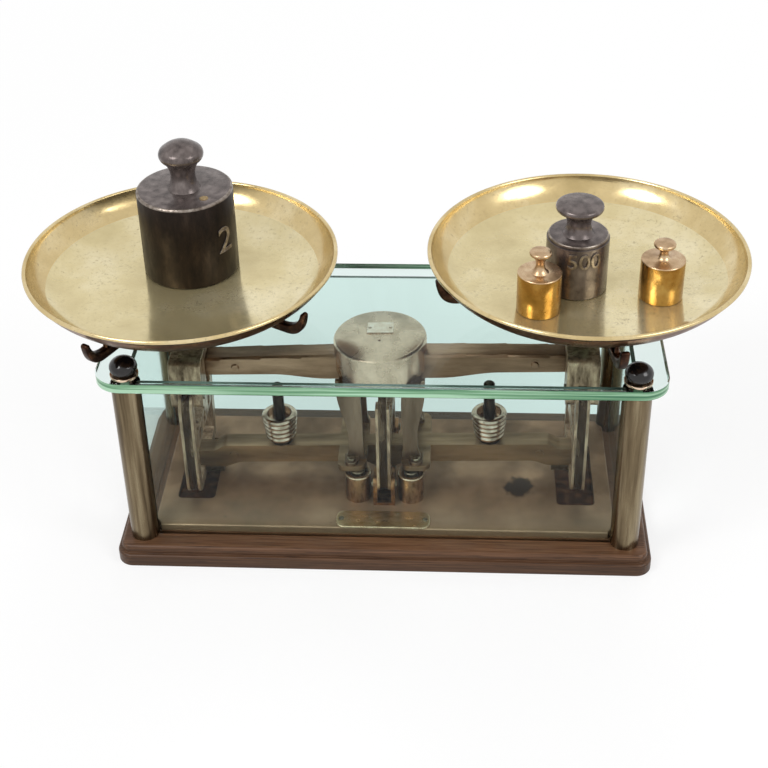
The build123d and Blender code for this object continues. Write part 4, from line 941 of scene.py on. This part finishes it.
# what all the weights share
turnedForm = {
    "edge": 0.05,  # rounding of the body's edges, as a share of its radius
    "roundMiddle": 0.29,  # how far in the middle of such a rounding lies, as a share of it
    "knobEdge": 0.3, "neckUp": 0.35,  # shares of the knob's depth and of the top
    "grooveDown": (3.6, 3.2, 2.6), "grooveIn": 1.6,  # groove under the top, in groove depths
    "edgeSteps": 3, "neckSteps": 12, "knobSteps": 8, "steps": 96,
    "wornShare": 0.9, "wornOutward": 0.2,  # faces of the upper edge that are worn bright
    "smoothBelow": 30,
}


def addWeight(node, form):
    # looks are the side, the top with its knob, and the worn rim between them
    radius, height, neck, foot, knob, depth, dome, top, groove = (form[key] for key in (
        "radius", "height", "neck", "neckFoot", "knob", "knobDepth", "dome", "top", "groove"))
    edge = radius * turnedForm["edge"]
    inward = edge * turnedForm["roundMiddle"]
    edgeSteps, knobSteps = turnedForm["edgeSteps"], turnedForm["knobSteps"]
    ring = height + top - dome - depth / 2
    knobEdge = knob - depth * turnedForm["knobEdge"]
    crown = (knobEdge**2 + dome**2) / (2 * dome)  # radius of the knob's domed top
    crownAt = (knobEdge / 2, height + top - crown + math.sqrt(crown**2 - knobEdge**2 / 4))
    runs = [(0, 0), (radius - edge, 0), ((radius - inward, inward), (radius, edge), edgeSteps)]
    if groove:
        low, inside, high = (height - down * groove for down in turnedForm["grooveDown"])
        runs += [(radius, low), (radius - turnedForm["grooveIn"] * groove, inside),
                 (radius - groove, high)]
    rim = radius - groove
    runs += [
        (rim, height - edge),
        ((rim - inward, height - inward), (rim - edge, height), edgeSteps),
        (foot, height),
        ((neck, height + top * turnedForm["neckUp"]), (knobEdge, ring - depth / 2),
         turnedForm["neckSteps"]),
        ((knob, ring), (knobEdge, ring + depth / 2), knobSteps),
        (crownAt, (0, height + top), knobSteps),
    ]
    base = footOf(node)
    shape = turnProfile(runs, turnedForm["steps"], base)
    for face in shape.faces:
        level = (face.calc_center_median().z - base.z) / mm
        outward = math.hypot(face.normal.x, face.normal.y)
        onEdge = height - edge * turnedForm["wornShare"] < level < height
        if onEdge and outward > turnedForm["wornOutward"]:
            face.material_index = 2
        elif level > height - edge:
            face.material_index = 1
    smoothByAngle(shape, turnedForm["smoothBelow"])
    piece = addPiece(node + "Turned", shape, form["looks"], node)
    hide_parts(node)


for node, form in weightForms.items():
    addWeight(node, form)
print("weights turned:", len(weightForms))

poiseForm = {
    "foot": 11.6, "radius": 14.0, "height": 22.0, "ribs": 5, "rib": 1.5,  # mm
    "cup": 9.6, "cupTaper": 1.0, "cupDepth": 6.0, "bore": 4.38,
    "tilt": -1.5,  # degrees, as the lower beam at rest
    "ribSteps": 8, "steps": 72, "smoothBelow": 50,
}


def addPoise(node):
    foot, height, ribs, cup, bore = (
        poiseForm[key] for key in ("foot", "height", "ribs", "cup", "bore"))
    pitch = height / ribs
    step = (poiseForm["radius"] - foot) / ribs
    valley = foot - poiseForm["rib"]
    runs = [(bore, 0), (valley, 0)]
    for rib in range(ribs):
        start = valley + step * rib
        runs.append(((start + step / 2 + poiseForm["rib"], (rib + 0.5) * pitch),
                     (start + step, (rib + 1) * pitch), poiseForm["ribSteps"]))
    cupFloor = height - poiseForm["cupDepth"]
    runs += [(cup, height), (cup - poiseForm["cupTaper"], cupFloor), (bore, cupFloor), (bore, 0)]
    shape = turnProfile(runs, poiseForm["steps"], (0, 0, -height / 2 * mm))
    smoothByAngle(shape, poiseForm["smoothBelow"])
    bmesh.ops.rotate(shape, verts=shape.verts[:], cent=(0, 0, 0),
                     matrix=Matrix.Rotation(math.radians(poiseForm["tilt"]), 3, "Y"))
    low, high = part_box(node)
    bmesh.ops.translate(shape, verts=shape.verts[:], vec=(low + high) / 2)
    piece = addPiece(node + "Turned", shape, ["brightNickelPoise"], node)
    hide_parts(node)


for node in ("poise_weight_left", "poise_weight_right"):
    addPoise(node)
print("poise weights turned")

# turn is degrees from the front, towards the right
numbers = {
    "weight_2000": {"text": "2", "sizeMm": 29.0, "raiseMm": 0.7, "fromTopMm": 33.0, "turn": 58.0},
    "weight_500": {"text": "500", "sizeMm": 16.5, "raiseMm": 0.8, "fromTopMm": 12.0, "turn": 9.0},
}
figures = {"bevelMm": 0.12, "curveSteps": 6, "mergeMm": 0.01, "longMm": 1.5, "cuts": 3}


def addNumber(node, form):
    # the text lies flat, is made a mesh, and is then wrapped round the weight's side
    radius = weightForms[node]["radius"] * mm
    words = bpy.data.curves.new(node + "Words", "FONT")
    words.body = form["text"]
    words.size = form["sizeMm"] * mm
    words.align_x = "CENTER"
    words.align_y = "CENTER"
    words.extrude = form["raiseMm"] * mm
    words.bevel_depth = figures["bevelMm"] * mm
    words.resolution_u = figures["curveSteps"]
    flat = bpy.data.objects.new(node + "Words", words)
    bpy.context.collection.objects.link(flat)
    bpy.context.view_layer.update()
    solid = flat.evaluated_get(bpy.context.evaluated_depsgraph_get())
    mesh = bpy.data.meshes.new_from_object(solid)
    bpy.data.objects.remove(flat)
    shape = bmesh.new()
    shape.from_mesh(mesh)
    bmesh.ops.remove_doubles(shape, verts=shape.verts[:], dist=figures["mergeMm"] * mm)
    longEdges = [edge for edge in shape.edges if edge.calc_length() > figures["longMm"] * mm]
    bmesh.ops.subdivide_edges(shape, edges=longEdges, cuts=figures["cuts"])
    base = footOf(node)
    height = base.z + (weightForms[node]["height"] - form["fromTopMm"]) * mm
    for vert in shape.verts:
        angle = vert.co.x / radius + math.radians(form["turn"] - 90)
        out = radius + vert.co.z
        vert.co = Vector((base.x + out * math.cos(angle), base.y + out * math.sin(angle),
                          height + vert.co.y))
    bmesh.ops.recalc_face_normals(shape, faces=shape.faces[:])
    addPiece(node + "Number", shape, ["rubbedCastIron"], node)


for node, form in numbers.items():
    addNumber(node, form)
print("numbers raised")
